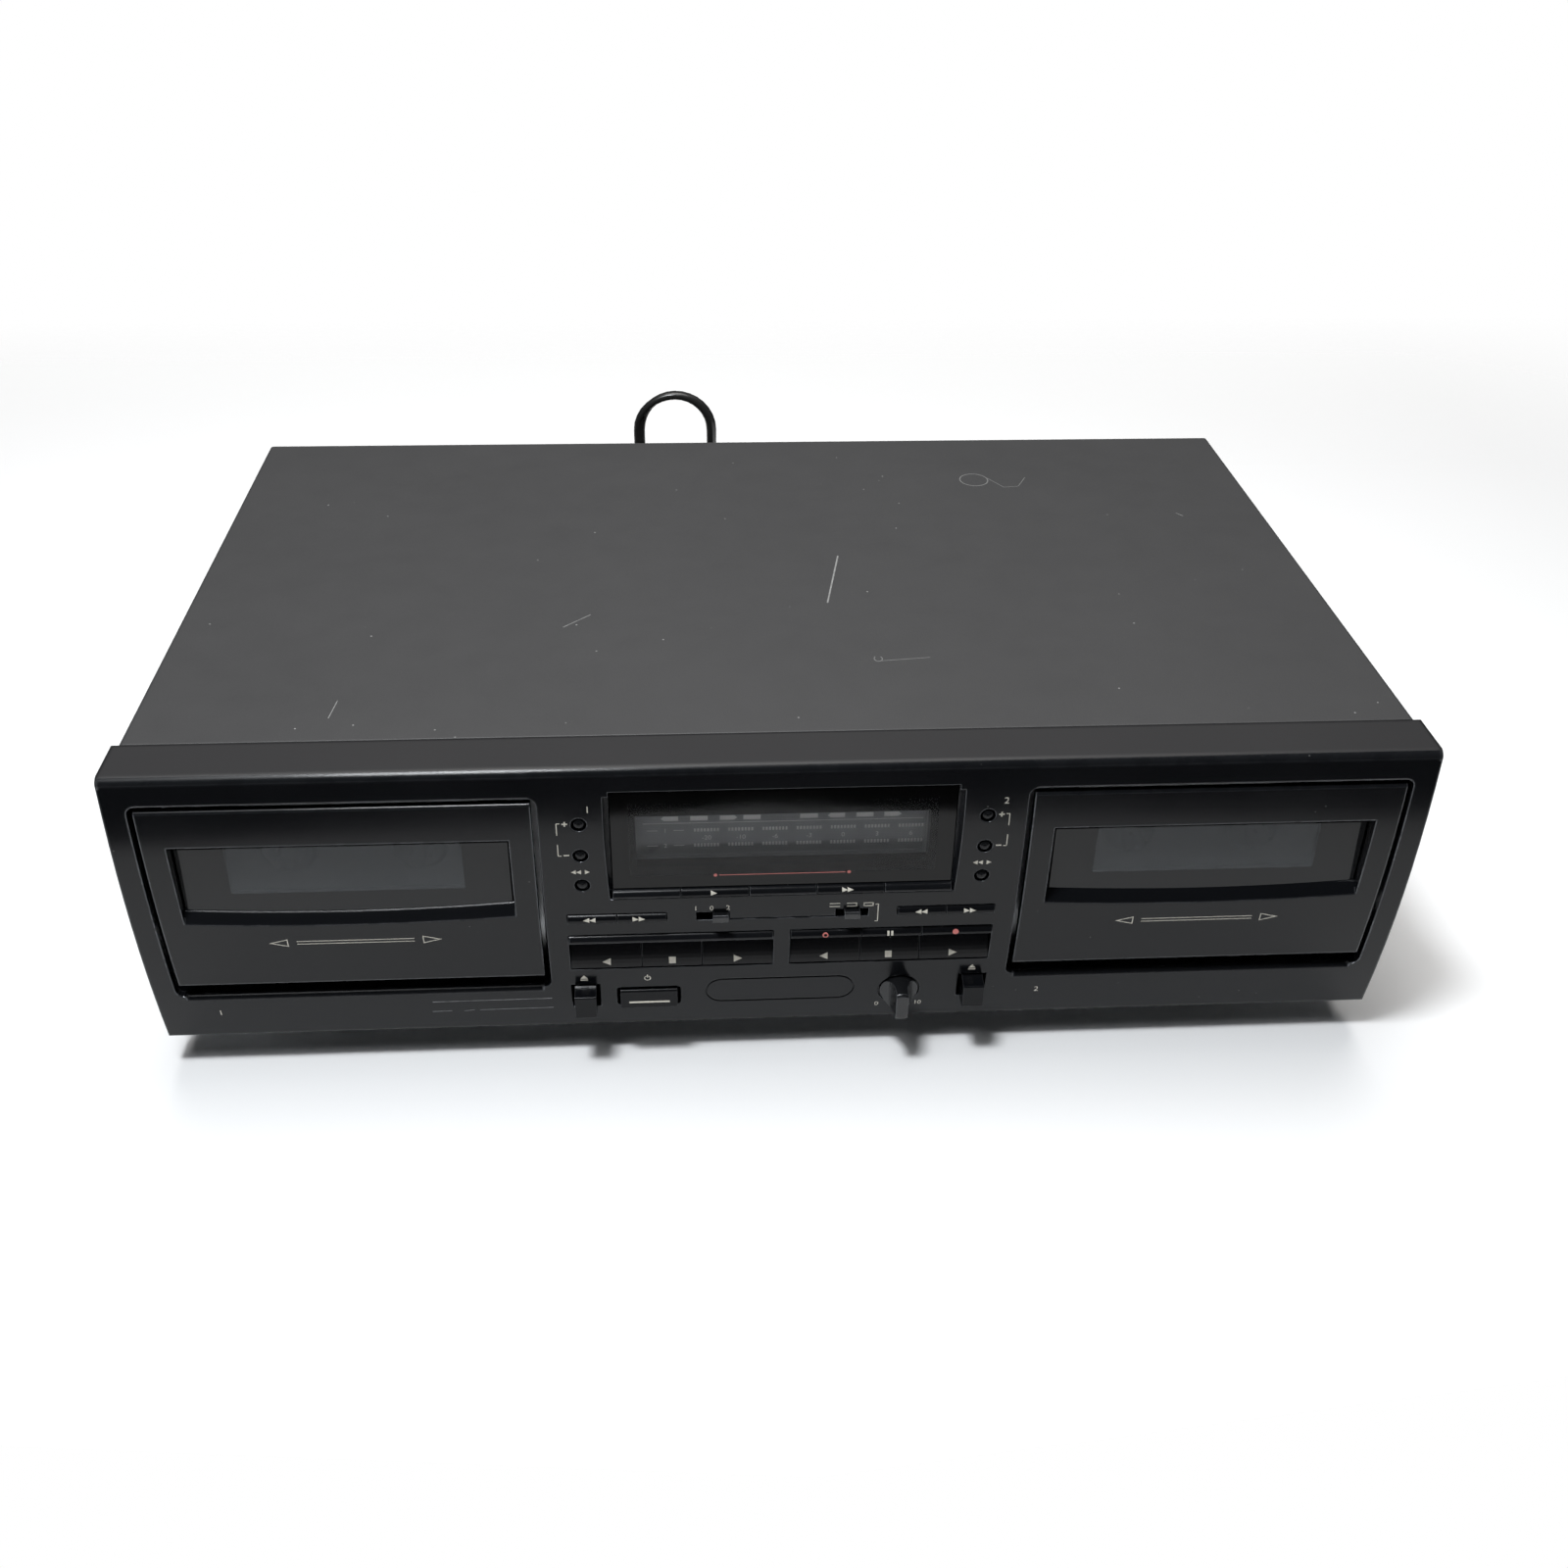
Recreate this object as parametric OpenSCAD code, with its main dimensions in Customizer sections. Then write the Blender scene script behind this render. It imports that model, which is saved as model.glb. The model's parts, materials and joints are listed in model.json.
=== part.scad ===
// Double cassette deck: two tape decks with doors, keys, display, mechanism and mains lead.
// X runs to the right, Y to the back and Z up, from the middle of the floor under the case.
// Heights on the front panel are measured from the panel's lower edge.

/* [Case] */
// Width of the front panel
panel_w = 420; // [412:1:470]
// Height of the front panel
panel_h = 112.5; // [111:0.5:130]
// Depth from the panel's foremost line to the rear edge of the cover
case_d = 269; // [240:1:340]
// Gap between the panel and the floor
foot_h = 12.5; // [8:0.5:24]
// Radius of each foot
foot_r = 15; // [9:0.5:20]
// Distance of the feet from the sides of the panel
foot_side = 45; // [36:1:60]
// Distance of the front feet from the foremost line
foot_front = 48; // [40:1:60]
// Distance of the rear feet from the rear edge of the cover
foot_rear = 42; // [30:1:60]
// Depth of the panel's returns, up to the cover
panel_return = 20.4; // [17:0.1:22]
// Step from the panel's side to the cover's side
cover_inset = 1.7; // [1.2:0.1:4]
// Bend radius of the cover's upper edges
cover_r = 1.6; // [1.2:0.2:4]
// Wall of the front panel
wall = 3; // [2.4:0.1:3.4]
// Thickness of the sheet metal
sheet = 1; // [0.8:0.1:1.4]
// Radius of a case screw's shank
screw_r = 1.5; // [1.2:0.1:2]
// Radius of a case screw's head
screw_head_r = 3.1; // [2.6:0.1:4]

/* [Front face] */
// Radius of the convex face, seen from the side
face_r = 410; // [330:5:800]
// Height of the foremost line of the face
apex_z = 95; // [86:1:100]
// Rounding of the upper front edge
edge_r = 3; // [1.5:0.5:4]
// Chamfer of the lower front edge
chin = 1.2; // [0.6:0.2:2]
// Depth of engraved lines
line_d = 0.5; // [0.3:0.1:0.8]
// Width of engraved lines
line_w = 0.6; // [0.4:0.1:1]

/* [Doors] */
// Middle of each deck, from the middle of the panel
deck_x = 140.2; // [139:0.2:142]
// Width of a door
door_w = 121; // [119:0.5:123]
// Height of a door
door_h = 73; // [72:0.5:74]
// Height of a door's lower edge on the panel
door_z = 27.5; // [27:0.5:28.5]
// Height of the gap under a door
door_lift = 6; // [5:0.5:7]
// Rounding of the sill under a door
sill_r = 2.2; // [1:0.1:2.6]
// Gap at the sides and the top of a door
door_gap = 2; // [1.4:0.2:2.4]
// Corner radius of a door opening
opening_r = 3; // [1.5:0.5:4]
// Thickness of a door
door_t = 2.6; // [2:0.2:3]
// Rounding of a door's upper edge
door_edge_r = 1.3; // [0.8:0.1:1.6]
// Width of the recess in a door
recess_w = 106; // [98:1:108]
// Height of the recess's upper edge on the panel
recess_top = 86.8; // [85:0.2:89]
// Height of the recess's lower edge on the panel, at the middle of its curve
lip_z = 53.8; // [52:0.2:56]
// Height of the sloped lip below the window
lip_rise = 3.8; // [2.5:0.1:5]
// Radius of the curve of the lip
smile_r = 1200; // [900:20:2000]
// Depth of the window behind the foremost line
window_y = 5.2; // [4.6:0.1:5.6]
// Thickness of the window
window_t = 2; // [1.5:0.1:2.5]
// Edge of the window held behind the recess
window_hold = 1.2; // [0.8:0.1:2]

/* [Cassette] */
// Room for the width of a cassette
cassette_w = 102.4; // [101.5:0.1:103]
// Room for the thickness of a cassette
cassette_t = 9.2; // [9:0.1:9.6]
// Height of the tape edge above the door's lower edge
tape_edge = 8.7; // [8.2:0.1:9.2]
// Height of the hubs above the tape edge
hub_rise = 34.3; // [33:0.1:36]
// Distance between the two hubs
hub_pitch = 42.5; // [41.5:0.1:43.5]
// Height of the capstans above the tape edge
capstan_rise = 7.5; // [7:0.1:8.5]
// Distance between the two capstans
capstan_pitch = 62; // [60:0.5:64]
// Radius of a capstan
capstan_r = 1; // [0.8:0.1:1.4]
// Radius of a hub's drum
hub_r = 2.9; // [2.5:0.1:3.2]
// Radius over a hub's fins
fin_r = 4.6; // [4.2:0.1:4.9]
// Radius of a flywheel
flywheel_r = 26; // [20:0.5:27]
// Thickness of a flywheel
flywheel_t = 8; // [6:0.5:10]
// Lift of the head carriage from rest to play
head_lift = 6.5; // [5.5:0.1:7]
// Radius of a pinch roller
roller_r = 4.5; // [3.8:0.1:4.8]
// Radius of the holder's pivot pins
pivot_r = 2; // [1.6:0.1:2.4]
// Sheet of the cassette holder
holder_t = 1.2; // [1:0.1:1.4]
// Plate of the deck frame
plate_t = 2; // [1.5:0.1:2.5]
// Radius of a motor can
motor_r = 15; // [12:0.5:17]
// Length of a motor can
motor_l = 22; // [16:1:28]
// Radius of a motor pulley
pulley_r = 5; // [3.5:0.5:7]
// Thickness of a belt
belt_t = 1; // [0.8:0.1:1.4]

/* [Keys] */
// Middle of each group of main keys
key_x = 36.8; // [36.6:0.1:38]
// Width of a group of main keys
key_w = 67.8; // [66:0.2:68]
// Width of a stop key
stop_w = 20.2; // [16:0.2:24]
// Height of the lower edge of the main keys on the panel
key_z = 30; // [29.5:0.1:30.5]
// Height of the main keys
key_h = 15.9; // [15.4:0.1:17.4]
// Height of the upper row of the main keys
ridge_h = 3.1; // [3:0.1:5.6]
// Length of the upper row in front of the panel
ridge_out = 1.3; // [0.5:0.1:2]
// Depth of the slope on the lower row
key_dish = 4.6; // [1:0.1:4.8]
// Middle of each pair of winding keys
seek_x = 54.4; // [54:0.1:55]
// Width of a pair of winding keys
seek_w = 32.4; // [30:0.2:33]
// Height of the winding keys on the panel
seek_z = 52; // [51.2:0.1:52.4]
// Height of a winding key
seek_h = 3.3; // [3.1:0.1:5.2]
// Length of a winding key in front of the panel
seek_out = 1.2; // [0.3:0.1:2]
// Height of the copy keys below the display
copy_h = 2.9; // [2.8:0.1:5.6]
// Length of a copy key in front of the panel
copy_out = 0.6; // [0.1:0.1:1]
// Depth of the main key pockets
key_pocket = 8; // [7.6:0.1:8.4]
// Depth of the other key pockets
pocket_d = 6; // [5.6:0.1:6.4]
// Rounding of the upper side of the upper row
ridge_r = 2.2; // [1.5:0.1:2.4]
// Rounding of the upper side of the winding and copy keys
bar_r = 2; // [1.2:0.1:2.2]
// Rounding of the power key pocket's corners
pocket_r = 1.4; // [0.6:0.1:2]
// Thickness of the pocket floors
floor_t = 2; // [1.6:0.1:2.4]
// Gap around a key cap
cap_gap = 0.3; // [0.2:0.05:0.4]
// Gap around a key's stem in its guide
fit_gap = 0.35; // [0.25:0.05:0.45]
// Travel of a key
key_travel = 1.5; // [1:0.1:1.8]
// Width of a key's stem
stem_w = 5; // [4:0.2:6]
// Height of a key's stem
stem_h = 2.6; // [2:0.1:3]

/* [Small controls] */
// Distance of the small round buttons from the middle
button_x = 65; // [64:0.1:66.5]
// Height of the middle small round button on the panel
button_z = 80.2; // [79:0.1:81]
// Pitch of the small round buttons
button_pitch = 12.1; // [11:0.1:12.6]
// Radius of a small round button
button_r = 2.2; // [1.8:0.1:2.5]
// Distance of the slide switches from the middle
slide_x = 23; // [22:0.1:24]
// Height of the slide switches on the panel
slide_z = 53.4; // [53:0.1:53.8]
// Length of a slide switch's slot
slot_w = 11; // [10:0.2:12]
// Height of a slide switch's slot
slot_h = 3.6; // [3:0.1:4]
// Width of a slide switch's knob
slide_w = 5.2; // [4.4:0.1:5.6]
// Height of a slide switch's knob in front of the panel
slide_out = 2.4; // [1.5:0.1:3.5]
// Distance of the eject keys from the middle
eject_x = 66.4; // [66:0.1:67]
// Height of an eject key's lower edge on the panel
eject_z = 11; // [10.6:0.1:11.6]
// Width of an eject key
eject_w = 7.2; // [7:0.1:8.4]
// Height of an eject key
eject_h = 11; // [10:0.2:11.6]
// Length of an eject key in front of the panel
eject_out = 6; // [5:0.2:8]
// Depth of the dished upper side at an eject key's front
eject_dish = 1.8; // [0.8:0.1:2.4]
// Rounding of an eject key's upper front edge
eject_r = 0.8; // [0.4:0.1:1.2]
// Gap at each side of an eject key
eject_gap = 1.3; // [0.5:0.1:1.5]
// Middle of the power key
power_x = -45; // [-46:0.1:-44]
// Height of the power key's lower edge on the panel
power_z = 11; // [10.6:0.1:11.6]
// Width of the power key
power_w = 19.4; // [19:0.2:21.4]
// Height of the power key
power_h = 8; // [7:0.1:9.6]
// Gap at both sides of the power key and above it
power_gap = 1.2; // [0.4:0.1:1.4]
// Rounding of the power key's upper edge
power_r = 1; // [0.6:0.1:2]
// Length of the power key in front of the panel
power_out = 1.6; // [0.6:0.1:2.4]
// Middle of the level knob
knob_x = 41.3; // [41:0.1:42]
// Height of the level knob's middle on the panel
knob_z = 15; // [14.6:0.1:15.6]
// Radius of the level knob's skirt
knob_r = 6.5; // [6:0.1:7]
// Length of the level knob in front of the panel
knob_out = 10.2; // [9.8:0.1:12]
// Width of the level knob's grip
grip_w = 4.2; // [3:0.1:5]
// Length of the grip's straight tip
grip_l = 3; // [2:0.1:5]
// Radius of the hollow flanks beside the grip
flank_r = 8.4; // [7:0.1:11]
// Radius of the level knob's shaft
shaft_r = 3; // [2.4:0.1:3.4]
// Width of the engraved badge outline
badge_w = 51.4; // [44:0.2:52]
// Height of the engraved badge outline
badge_h = 12; // [10:0.2:12.6]
// Height of the badge outline's lower edge on the panel
badge_z = 11.2; // [10.8:0.1:11.8]

/* [Display] */
// Width of the display opening
disp_w = 111; // [106:0.5:111.5]
// Height of the display opening's lower edge on the panel
disp_z = 61.7; // [61.4:0.1:62]
// Height of the display opening
disp_h = 40.7; // [39.5:0.1:41.2]
// Depth of the lens behind the face at the opening's lower edge
lens_in = 1.2; // [0.8:0.1:1.6]
// Thickness of the lens
lens_t = 2; // [1.5:0.1:2.5]
// Slope of the bevel round the lens, in width for each unit of depth
lens_bevel = 0.75; // [0.2:0.05:1.1]
// Width of the display tube
tube_w = 99; // [90:0.5:100]
// Height of the display tube
tube_h = 23.8; // [18:0.1:24]
// Height of the display tube above the display opening's lower edge
tube_rise = 8.3; // [7:0.1:14]

/* [Rear] */
// Middle of the phono jacks
jack_x = 130; // [112:1:140]
// Height of the lower row of jacks above the panel's lower edge
jack_z = 40; // [36:1:60]
// Pitch of the jacks
jack_pitch = 18; // [16:0.5:20]
// Outer radius of a jack's shell
jack_r = 4.15; // [4:0.05:4.3]
// Length of a jack's shell
jack_l = 8; // [7:0.2:10]
// Inset of the rear panel from the cover's rear edge
rear_inset = 1.5; // [0.8:0.1:2.5]
// Place of the mains inlet across the rear panel
relief_x = -85; // [-88:0.5:-82]
// Height of the mains inlet above the panel's lower edge
relief_z = 27; // [25:0.5:29]
// Length of the strain relief behind the rear panel
relief_l = 26; // [25.5:0.5:27]

/* [Mains transformer] */
// Distance of the transformer from the side of the panel
coil_side = 70; // [62:1:80]
// Distance of the transformer from the rear edge of the cover
coil_rear = 105; // [100:1:112]

/* [Mains lead] */
// Width of the flat cord
cord_w = 5.2; // [4.4:0.1:5.3]
// Thickness of the flat cord
cord_t = 3.4; // [2.8:0.1:3.6]
// Number of loops in the hank
hank_loops = 6; // [4:1:6]
// Radius of the hank's folds
fold_r = 16.4; // [15.6:0.1:17]
// Height of the loops of the hank
hank_h = 104; // [96:1:108]
// Height of the one loop that stands out of the hank
arch_h = 138; // [120:0.5:142]
// Number of the loop that stands out, counted from the mains inlet
arch_n = 3; // [1:1:4]
// Step from loop to loop
hank_step = 5.8; // [5.7:0.05:6.2]
// Half width of the hank at its tie
waist = 9; // [7:0.5:12]
// Middle of the hank from the middle of the case
hank_x = -31.4; // [-33:0.1:-29]

/* [Hidden] */
$fn = 48;
eps = 0.01;
run_fit = 0.05;
slack = 0.3;
body_black = "#1d1e20";
key_black = "#17181a";
dark_sheet = "#2a2b2d";
zinc = "#9ea1a4";
steel = "#b9bcc0";
brass = "#b99a58";
rubber = "#141414";
smoke = "#26211f";
board_green = "#2f4a33";

// Heights, from the floor
function pz(z) = foot_h + z;
top_z = pz(panel_h);
tray_z = pz(wall);
tray_top = tray_z + sheet;

// Depths, from the foremost line of the panel
function setback(z) = face_r - sqrt(face_r * face_r - (z - apex_z) * (z - apex_z));
lead = knob_out - setback(knob_z);
jack_collar = 1;
jack_end = jack_l + jack_collar - rear_inset;
y_front = lead - (lead + case_d + jack_end) / 2;
y_rear = y_front + case_d;
y_cover = y_front + panel_return + slack;
y_back = y_rear - rear_inset;
y_board = y_front + panel_return;
function face_y(z) = y_front + setback(z);
function inner_y(z) = y_front + face_r - sqrt((face_r - wall) * (face_r - wall) - (z - apex_z) * (z - apex_z));
y_tray = inner_y(wall) + 0.6;

// Widths
cover_x = panel_w / 2 - cover_inset;
tray_x = min(cover_x - sheet, panel_w / 2 - wall) - slack;

// Deck levels
hold_y = y_front + window_y + window_t + 0.8;
cass_y = hold_y + holder_t;
cass_back = cass_y + cassette_t;
lip_y = cass_back + holder_t;
pivot_y = cass_y + cassette_t / 2;
pivot_z = door_z + 3.5;
edge_z = door_z + tape_edge;
hub_z = edge_z + hub_rise;
capstan_z = edge_z + capstan_rise;
plate_y = lip_y + 4.4;
wheel_y = plate_y + plate_t + 5;
back_y = wheel_y + flywheel_t + 4;
side_x = cassette_w / 2 + holder_t;
ear_x = side_x + slack + 1;
ear_t = 2;
frame_w = 120;
roller_z = capstan_z - capstan_r - roller_r - slack - head_lift;
belt_gap = 0.3;
belt_turn = asin((2 * flywheel_r + 2 * belt_gap + belt_t) / capstan_pitch);
motor_at = [
    -capstan_pitch / 2 + (flywheel_r - pulley_r) * sin(belt_turn) + 60 * cos(belt_turn),
    capstan_z - (flywheel_r - pulley_r) * cos(belt_turn) + 60 * sin(belt_turn)
];
sill_z = door_z - door_lift;
door_top = door_z + door_h;

// Key levels
side_w = (key_w - stop_w) / 2;
ridge_z = key_z + key_h - ridge_h;
key_floor = face_y(key_z + key_h / 2) + key_pocket;
seek_floor = face_y(seek_z + seek_h / 2) + pocket_d;
copy_floor = face_y(disp_z + copy_h / 2) + pocket_d;
power_floor = face_y(power_z + power_h / 2) + pocket_d;
lens_y = face_y(disp_z) + lens_in;
disp_top = disp_z + disp_h;
lens_z = disp_z + copy_h + 2 * cap_gap;
copy_w = disp_w / 5;
stem_end = y_board - key_travel - 0.6;
knob_seat = face_y(knob_z - knob_r - 0.8) + 0.2;
eject_y = face_y(eject_z + eject_h / 2) - eject_out;
tube_y = copy_floor + floor_t + 0.4;
tube_z = disp_z + tube_rise;

function span(c, a, b) = [c + a, c + b];
function about(c, h) = [c - h, c + h];
function mid(s) = (s[0] + s[1]) / 2;
function key_edge(side, i) = side * key_x - key_w / 2 + [0, side_w, side_w + stop_w, key_w][i];
function key_span(side, i) = [key_edge(side, i) + cap_gap / 2, key_edge(side, i + 1) - cap_gap / 2];
function seek_span(side, i) = about(side * seek_x + (i - 0.5) * seek_w / 2, (seek_w / 2 - cap_gap) / 2);
function copy_span(i) = about((i - 2) * copy_w, (copy_w - cap_gap) / 2);

// General forms
module box(x, y, z) {
    translate([x[0], y[0], z[0]])
        cube([x[1] - x[0], y[1] - y[0], z[1] - z[0]]);
}

// Outline in Y and Z, drawn out along X
module along_x(x) {
    translate([x[0], 0, 0])
        rotate([90, 0, 90])
            linear_extrude(x[1] - x[0])
                children();
}

// Outline in X and Z, drawn out along Y
module along_y(y) {
    translate([0, y[1], 0])
        rotate([90, 0, 0])
            linear_extrude(y[1] - y[0])
                children();
}

module pin_x(x, y, z, r) {
    translate([x[0], y, z])
        rotate([0, 90, 0])
            cylinder(r = r, h = x[1] - x[0]);
}

module pin_y(x, y, z, r) {
    translate([x, y[0], z])
        rotate([-90, 0, 0])
            cylinder(r = r, h = y[1] - y[0]);
}

module pin_z(x, y, z, r) {
    translate([x, y, z[0]])
        cylinder(r = r, h = z[1] - z[0]);
}

// Rectangle from lower left corner at, with round corners
module round_rect(at, w, h, r, n = 5) {
    corners = [[w - r, h - r, 0], [r, h - r, 90], [r, r, 180], [w - r, r, 270]];
    polygon([
        for (c = corners)
            for (i = [0:n])
                at + [c[0] + r * cos(c[2] + 90 * i / n), c[1] + r * sin(c[2] + 90 * i / n)]
    ]);
}

// Front panel
module face_profile(inset, back) {
    intersection() {
        translate([y_front + face_r, pz(apex_z)])
            circle(r = face_r - inset, $fn = 360);
        translate([y_front - 1, pz(inset)])
            square([back + 1, panel_h - 2 * inset]);
    }
}

// Waste outside a rounded upper front edge, crossing both faces at a small angle
module edge_waste(y, z, r) {
    difference() {
        translate([y - 3, z - r + 0.05])
            square([r + 2.95, r + 2]);
        translate([y + r - 0.05, z - r + 0.05])
            circle(r = r);
    }
}

module panel_profile() {
    difference() {
        face_profile(0, panel_return);
        edge_waste(face_y(panel_h - edge_r), top_z, edge_r);
        polygon([
            [face_y(0) + chin, pz(0)],
            [face_y(chin), pz(chin)],
            [face_y(chin) - 3, pz(chin)],
            [face_y(chin) - 3, pz(-1)],
            [face_y(0) + chin, pz(-1)]
        ]);
    }
}

// Ledge outline of a key with an upper side rounded by r, from the plane at back
function ridge_points(z, out, back, r) =
    let (f = face_y(mid(z)) - out)
    concat(
        [[back, pz(z[0])], [f + 0.5, pz(z[0])], [f, pz(z[0] + 0.5)]],
        [for (i = [0:10]) [f + r - r * cos(9 * i), pz(z[1] - r + r * sin(9 * i))]],
        [[back, pz(z[1])]]
    );

// Sloped outline of a lower key, deepest under the upper row
function slope_points(z, deep, back) = concat(
    [[back, pz(z[0])], [face_y(z[0]) + 0.4, pz(z[0])]],
    [
        for (i = [0:8])
            let (t = i / 8)
            let (h = z[0] + 0.6 + (z[1] - z[0] - 0.6) * t)
            [face_y(h) - 0.1 + deep * pow(t, 1.2), pz(h)]
    ],
    [[back, pz(z[1])]]
);

module ridge(x, z, out, back, r) {
    along_x(x)
        polygon(ridge_points(z, out, back, r));
}

module stem(x, z, y, gap = 0) {
    box([x - stem_w / 2 - gap, x + stem_w / 2 + gap], y, [pz(z) - stem_h / 2 - gap, pz(z) + stem_h / 2 + gap]);
}

// Material left behind the face around the pockets
module panel_backing() {
    back = y_front + panel_return + 2;
    box([-disp_w / 2 - 2, disp_w / 2 + 2], [y_front, copy_floor + floor_t], [pz(disp_z - 2), pz(disp_top + 2)]);
    for (side = [-1, 1]) {
        box(
            about(side * key_x, key_w / 2 + 2),
            [y_front, key_floor + floor_t],
            [pz(key_z - 2), pz(key_z + key_h + 2)]
        );
        box(
            about(side * seek_x, seek_w / 2 + 2),
            [y_front, seek_floor + floor_t],
            [pz(seek_z - 2), pz(seek_z + seek_h + 2)]
        );
        box(
            about(side * eject_x, eject_w / 2 + eject_gap + 1.6),
            [y_front, back],
            [pz(eject_z - 2), pz(eject_z + eject_h + 2)]
        );
        box(about(side * deck_x, door_w / 2 + door_gap + 1), [y_front, back], [pz(sill_z - 3), pz(sill_z)]);
        for (z = [98, 60])
            pin_y(side * 73, [y_front, back], pz(z), 2.4);
        pin_y(side * 15, [y_front, back], pz(8.5), 2.4);
    }
    box(
        about(power_x, power_w / 2 + power_gap + 1.6),
        [y_front, power_floor + floor_t],
        [pz(power_z - 2), pz(power_z + power_h + power_gap + 1.6)]
    );
    box(
        about(knob_x, knob_r + 3),
        [y_front, knob_seat + floor_t],
        [pz(knob_z - knob_r - 3), pz(knob_z + knob_r + 3)]
    );
}

// Pockets, openings and holes
module panel_cuts() {
    out = y_front - 5;
    for (side = [-1, 1]) {
        along_y([out, y_front + panel_return + 2])
            round_rect(
                [side * deck_x - door_w / 2 - door_gap, pz(sill_z)],
                door_w + 2 * door_gap,
                door_h + door_lift + door_gap,
                opening_r
            );
        along_x(about(side * deck_x, door_w / 2 + door_gap - opening_r))
            edge_waste(face_y(sill_z - sill_r), pz(sill_z), sill_r);
        box(
            about(side * key_x, key_w / 2 + cap_gap / 2),
            [out, key_floor],
            [pz(key_z - cap_gap), pz(key_z + key_h + cap_gap)]
        );
        for (i = [0:2])
            stem(mid(key_span(side, i)), key_z + 5.5, [out, key_floor + floor_t + 1], fit_gap);
        box(
            about(side * seek_x, seek_w / 2 + cap_gap / 2),
            [out, seek_floor],
            [pz(seek_z - cap_gap), pz(seek_z + seek_h + cap_gap)]
        );
        for (i = [0, 1])
            stem(mid(seek_span(side, i)), seek_z + seek_h / 2, [out, seek_floor + floor_t + 1], fit_gap);
        for (i = [-1:1])
            pin_y(side * button_x, [out, y_front + 9], pz(button_z + i * button_pitch), button_r + fit_gap);
        box(
            about(side * slide_x, slot_w / 2),
            [out, y_front + 9],
            [pz(slide_z) - slot_h / 2, pz(slide_z) + slot_h / 2]
        );
        box(
            about(side * eject_x, eject_w / 2 + eject_gap),
            [out, y_front + panel_return + 3],
            [pz(eject_z) - fit_gap, pz(eject_z + eject_h) + fit_gap]
        );
    }
    for (i = [0:2])
        stem(mid(key_span(1, i)), ridge_z + ridge_h / 2, [out, key_floor + floor_t + 1], fit_gap);
    box([-disp_w / 2, disp_w / 2], [out, lens_y + lens_t], [pz(lens_z - cap_gap), pz(disp_top)]);
    box([-disp_w / 2, disp_w / 2], [out, copy_floor], [pz(disp_z), pz(lens_z - cap_gap)]);
    lens_bevels(lens_y - out);
    box(
        [-1, 1] * (tube_w / 2 - 2),
        [out, copy_floor + floor_t + 1],
        [pz(tube_z + 2), pz(tube_z + tube_h - 2)]
    );
    for (i = [1, 3])
        stem(mid(copy_span(i)), disp_z + cap_gap + copy_h / 2, [out, copy_floor + floor_t + 1], fit_gap);
    along_y([out, power_floor])
        round_rect(
            [power_x - power_w / 2 - power_gap, pz(power_z - cap_gap)],
            power_w + 2 * power_gap,
            power_h + power_gap + cap_gap,
            pocket_r
        );
    stem(power_x, power_z + power_h / 2, [out, power_floor + floor_t + 1], fit_gap);
    pin_y(knob_x, [out, knob_seat], pz(knob_z), knob_r + 0.8);
    pin_y(knob_x, [out, knob_seat + floor_t + 1], pz(knob_z), shaft_r + slack);
}

// Bevels at both sides of the lens and above it, cut to that depth in front of the lens
module lens_bevels(deep) {
    wide = deep * lens_bevel;
    for (s = [-1, 1])
        translate([0, 0, pz(disp_z)])
            linear_extrude(disp_h)
                polygon([
                    [s * (disp_w / 2 - 1), lens_y],
                    [s * disp_w / 2, lens_y],
                    [s * (disp_w / 2 + wide), lens_y - deep],
                    [s * (disp_w / 2 - 1), lens_y - deep]
                ]);
    along_x([-disp_w / 2, disp_w / 2])
        polygon([
            [lens_y, pz(disp_top - 1)],
            [lens_y, pz(disp_top)],
            [lens_y - deep, pz(disp_top) + wide],
            [lens_y - deep, pz(disp_top - 1)]
        ]);
}

// Engraved badge outline and the line between the slide switches
module panel_lines() {
    difference() {
        union() {
            along_y([y_front - 1, y_front + 14])
                difference() {
                    round_rect([-badge_w / 2, pz(badge_z)], badge_w, badge_h, badge_h / 2 - 0.1, 10);
                    round_rect(
                        [-badge_w / 2 + line_w, pz(badge_z) + line_w],
                        badge_w - 2 * line_w,
                        badge_h - 2 * line_w,
                        badge_h / 2 - line_w - 0.1,
                        10
                    );
                }
            box(
                [-1, 1] * (slide_x - slot_w / 2 + eps),
                [y_front - 1, y_front + 8],
                span(pz(slide_z) - slot_h / 2, 0, line_w)
            );
        }
        along_x([-panel_w / 2, panel_w / 2])
            face_profile(line_d, panel_return + 2);
    }
}

module front_panel() {
    color(body_black) {
        difference() {
            along_x([-panel_w / 2, panel_w / 2])
                panel_profile();
            difference() {
                along_x([-panel_w / 2 + wall, panel_w / 2 - wall])
                    face_profile(wall, panel_return + 1);
                panel_backing();
            }
            panel_cuts();
            panel_lines();
        }
        ridge(
            [key_span(-1, 0)[0], key_span(-1, 2)[1]],
            [ridge_z, ridge_z + ridge_h],
            ridge_out,
            key_floor + 0.5,
            ridge_r
        );
        for (i = [0, 2, 4])
            ridge(copy_span(i), [disp_z + cap_gap, disp_z + cap_gap + copy_h], copy_out, copy_floor + 0.5, bar_r);
    }
}

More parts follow.
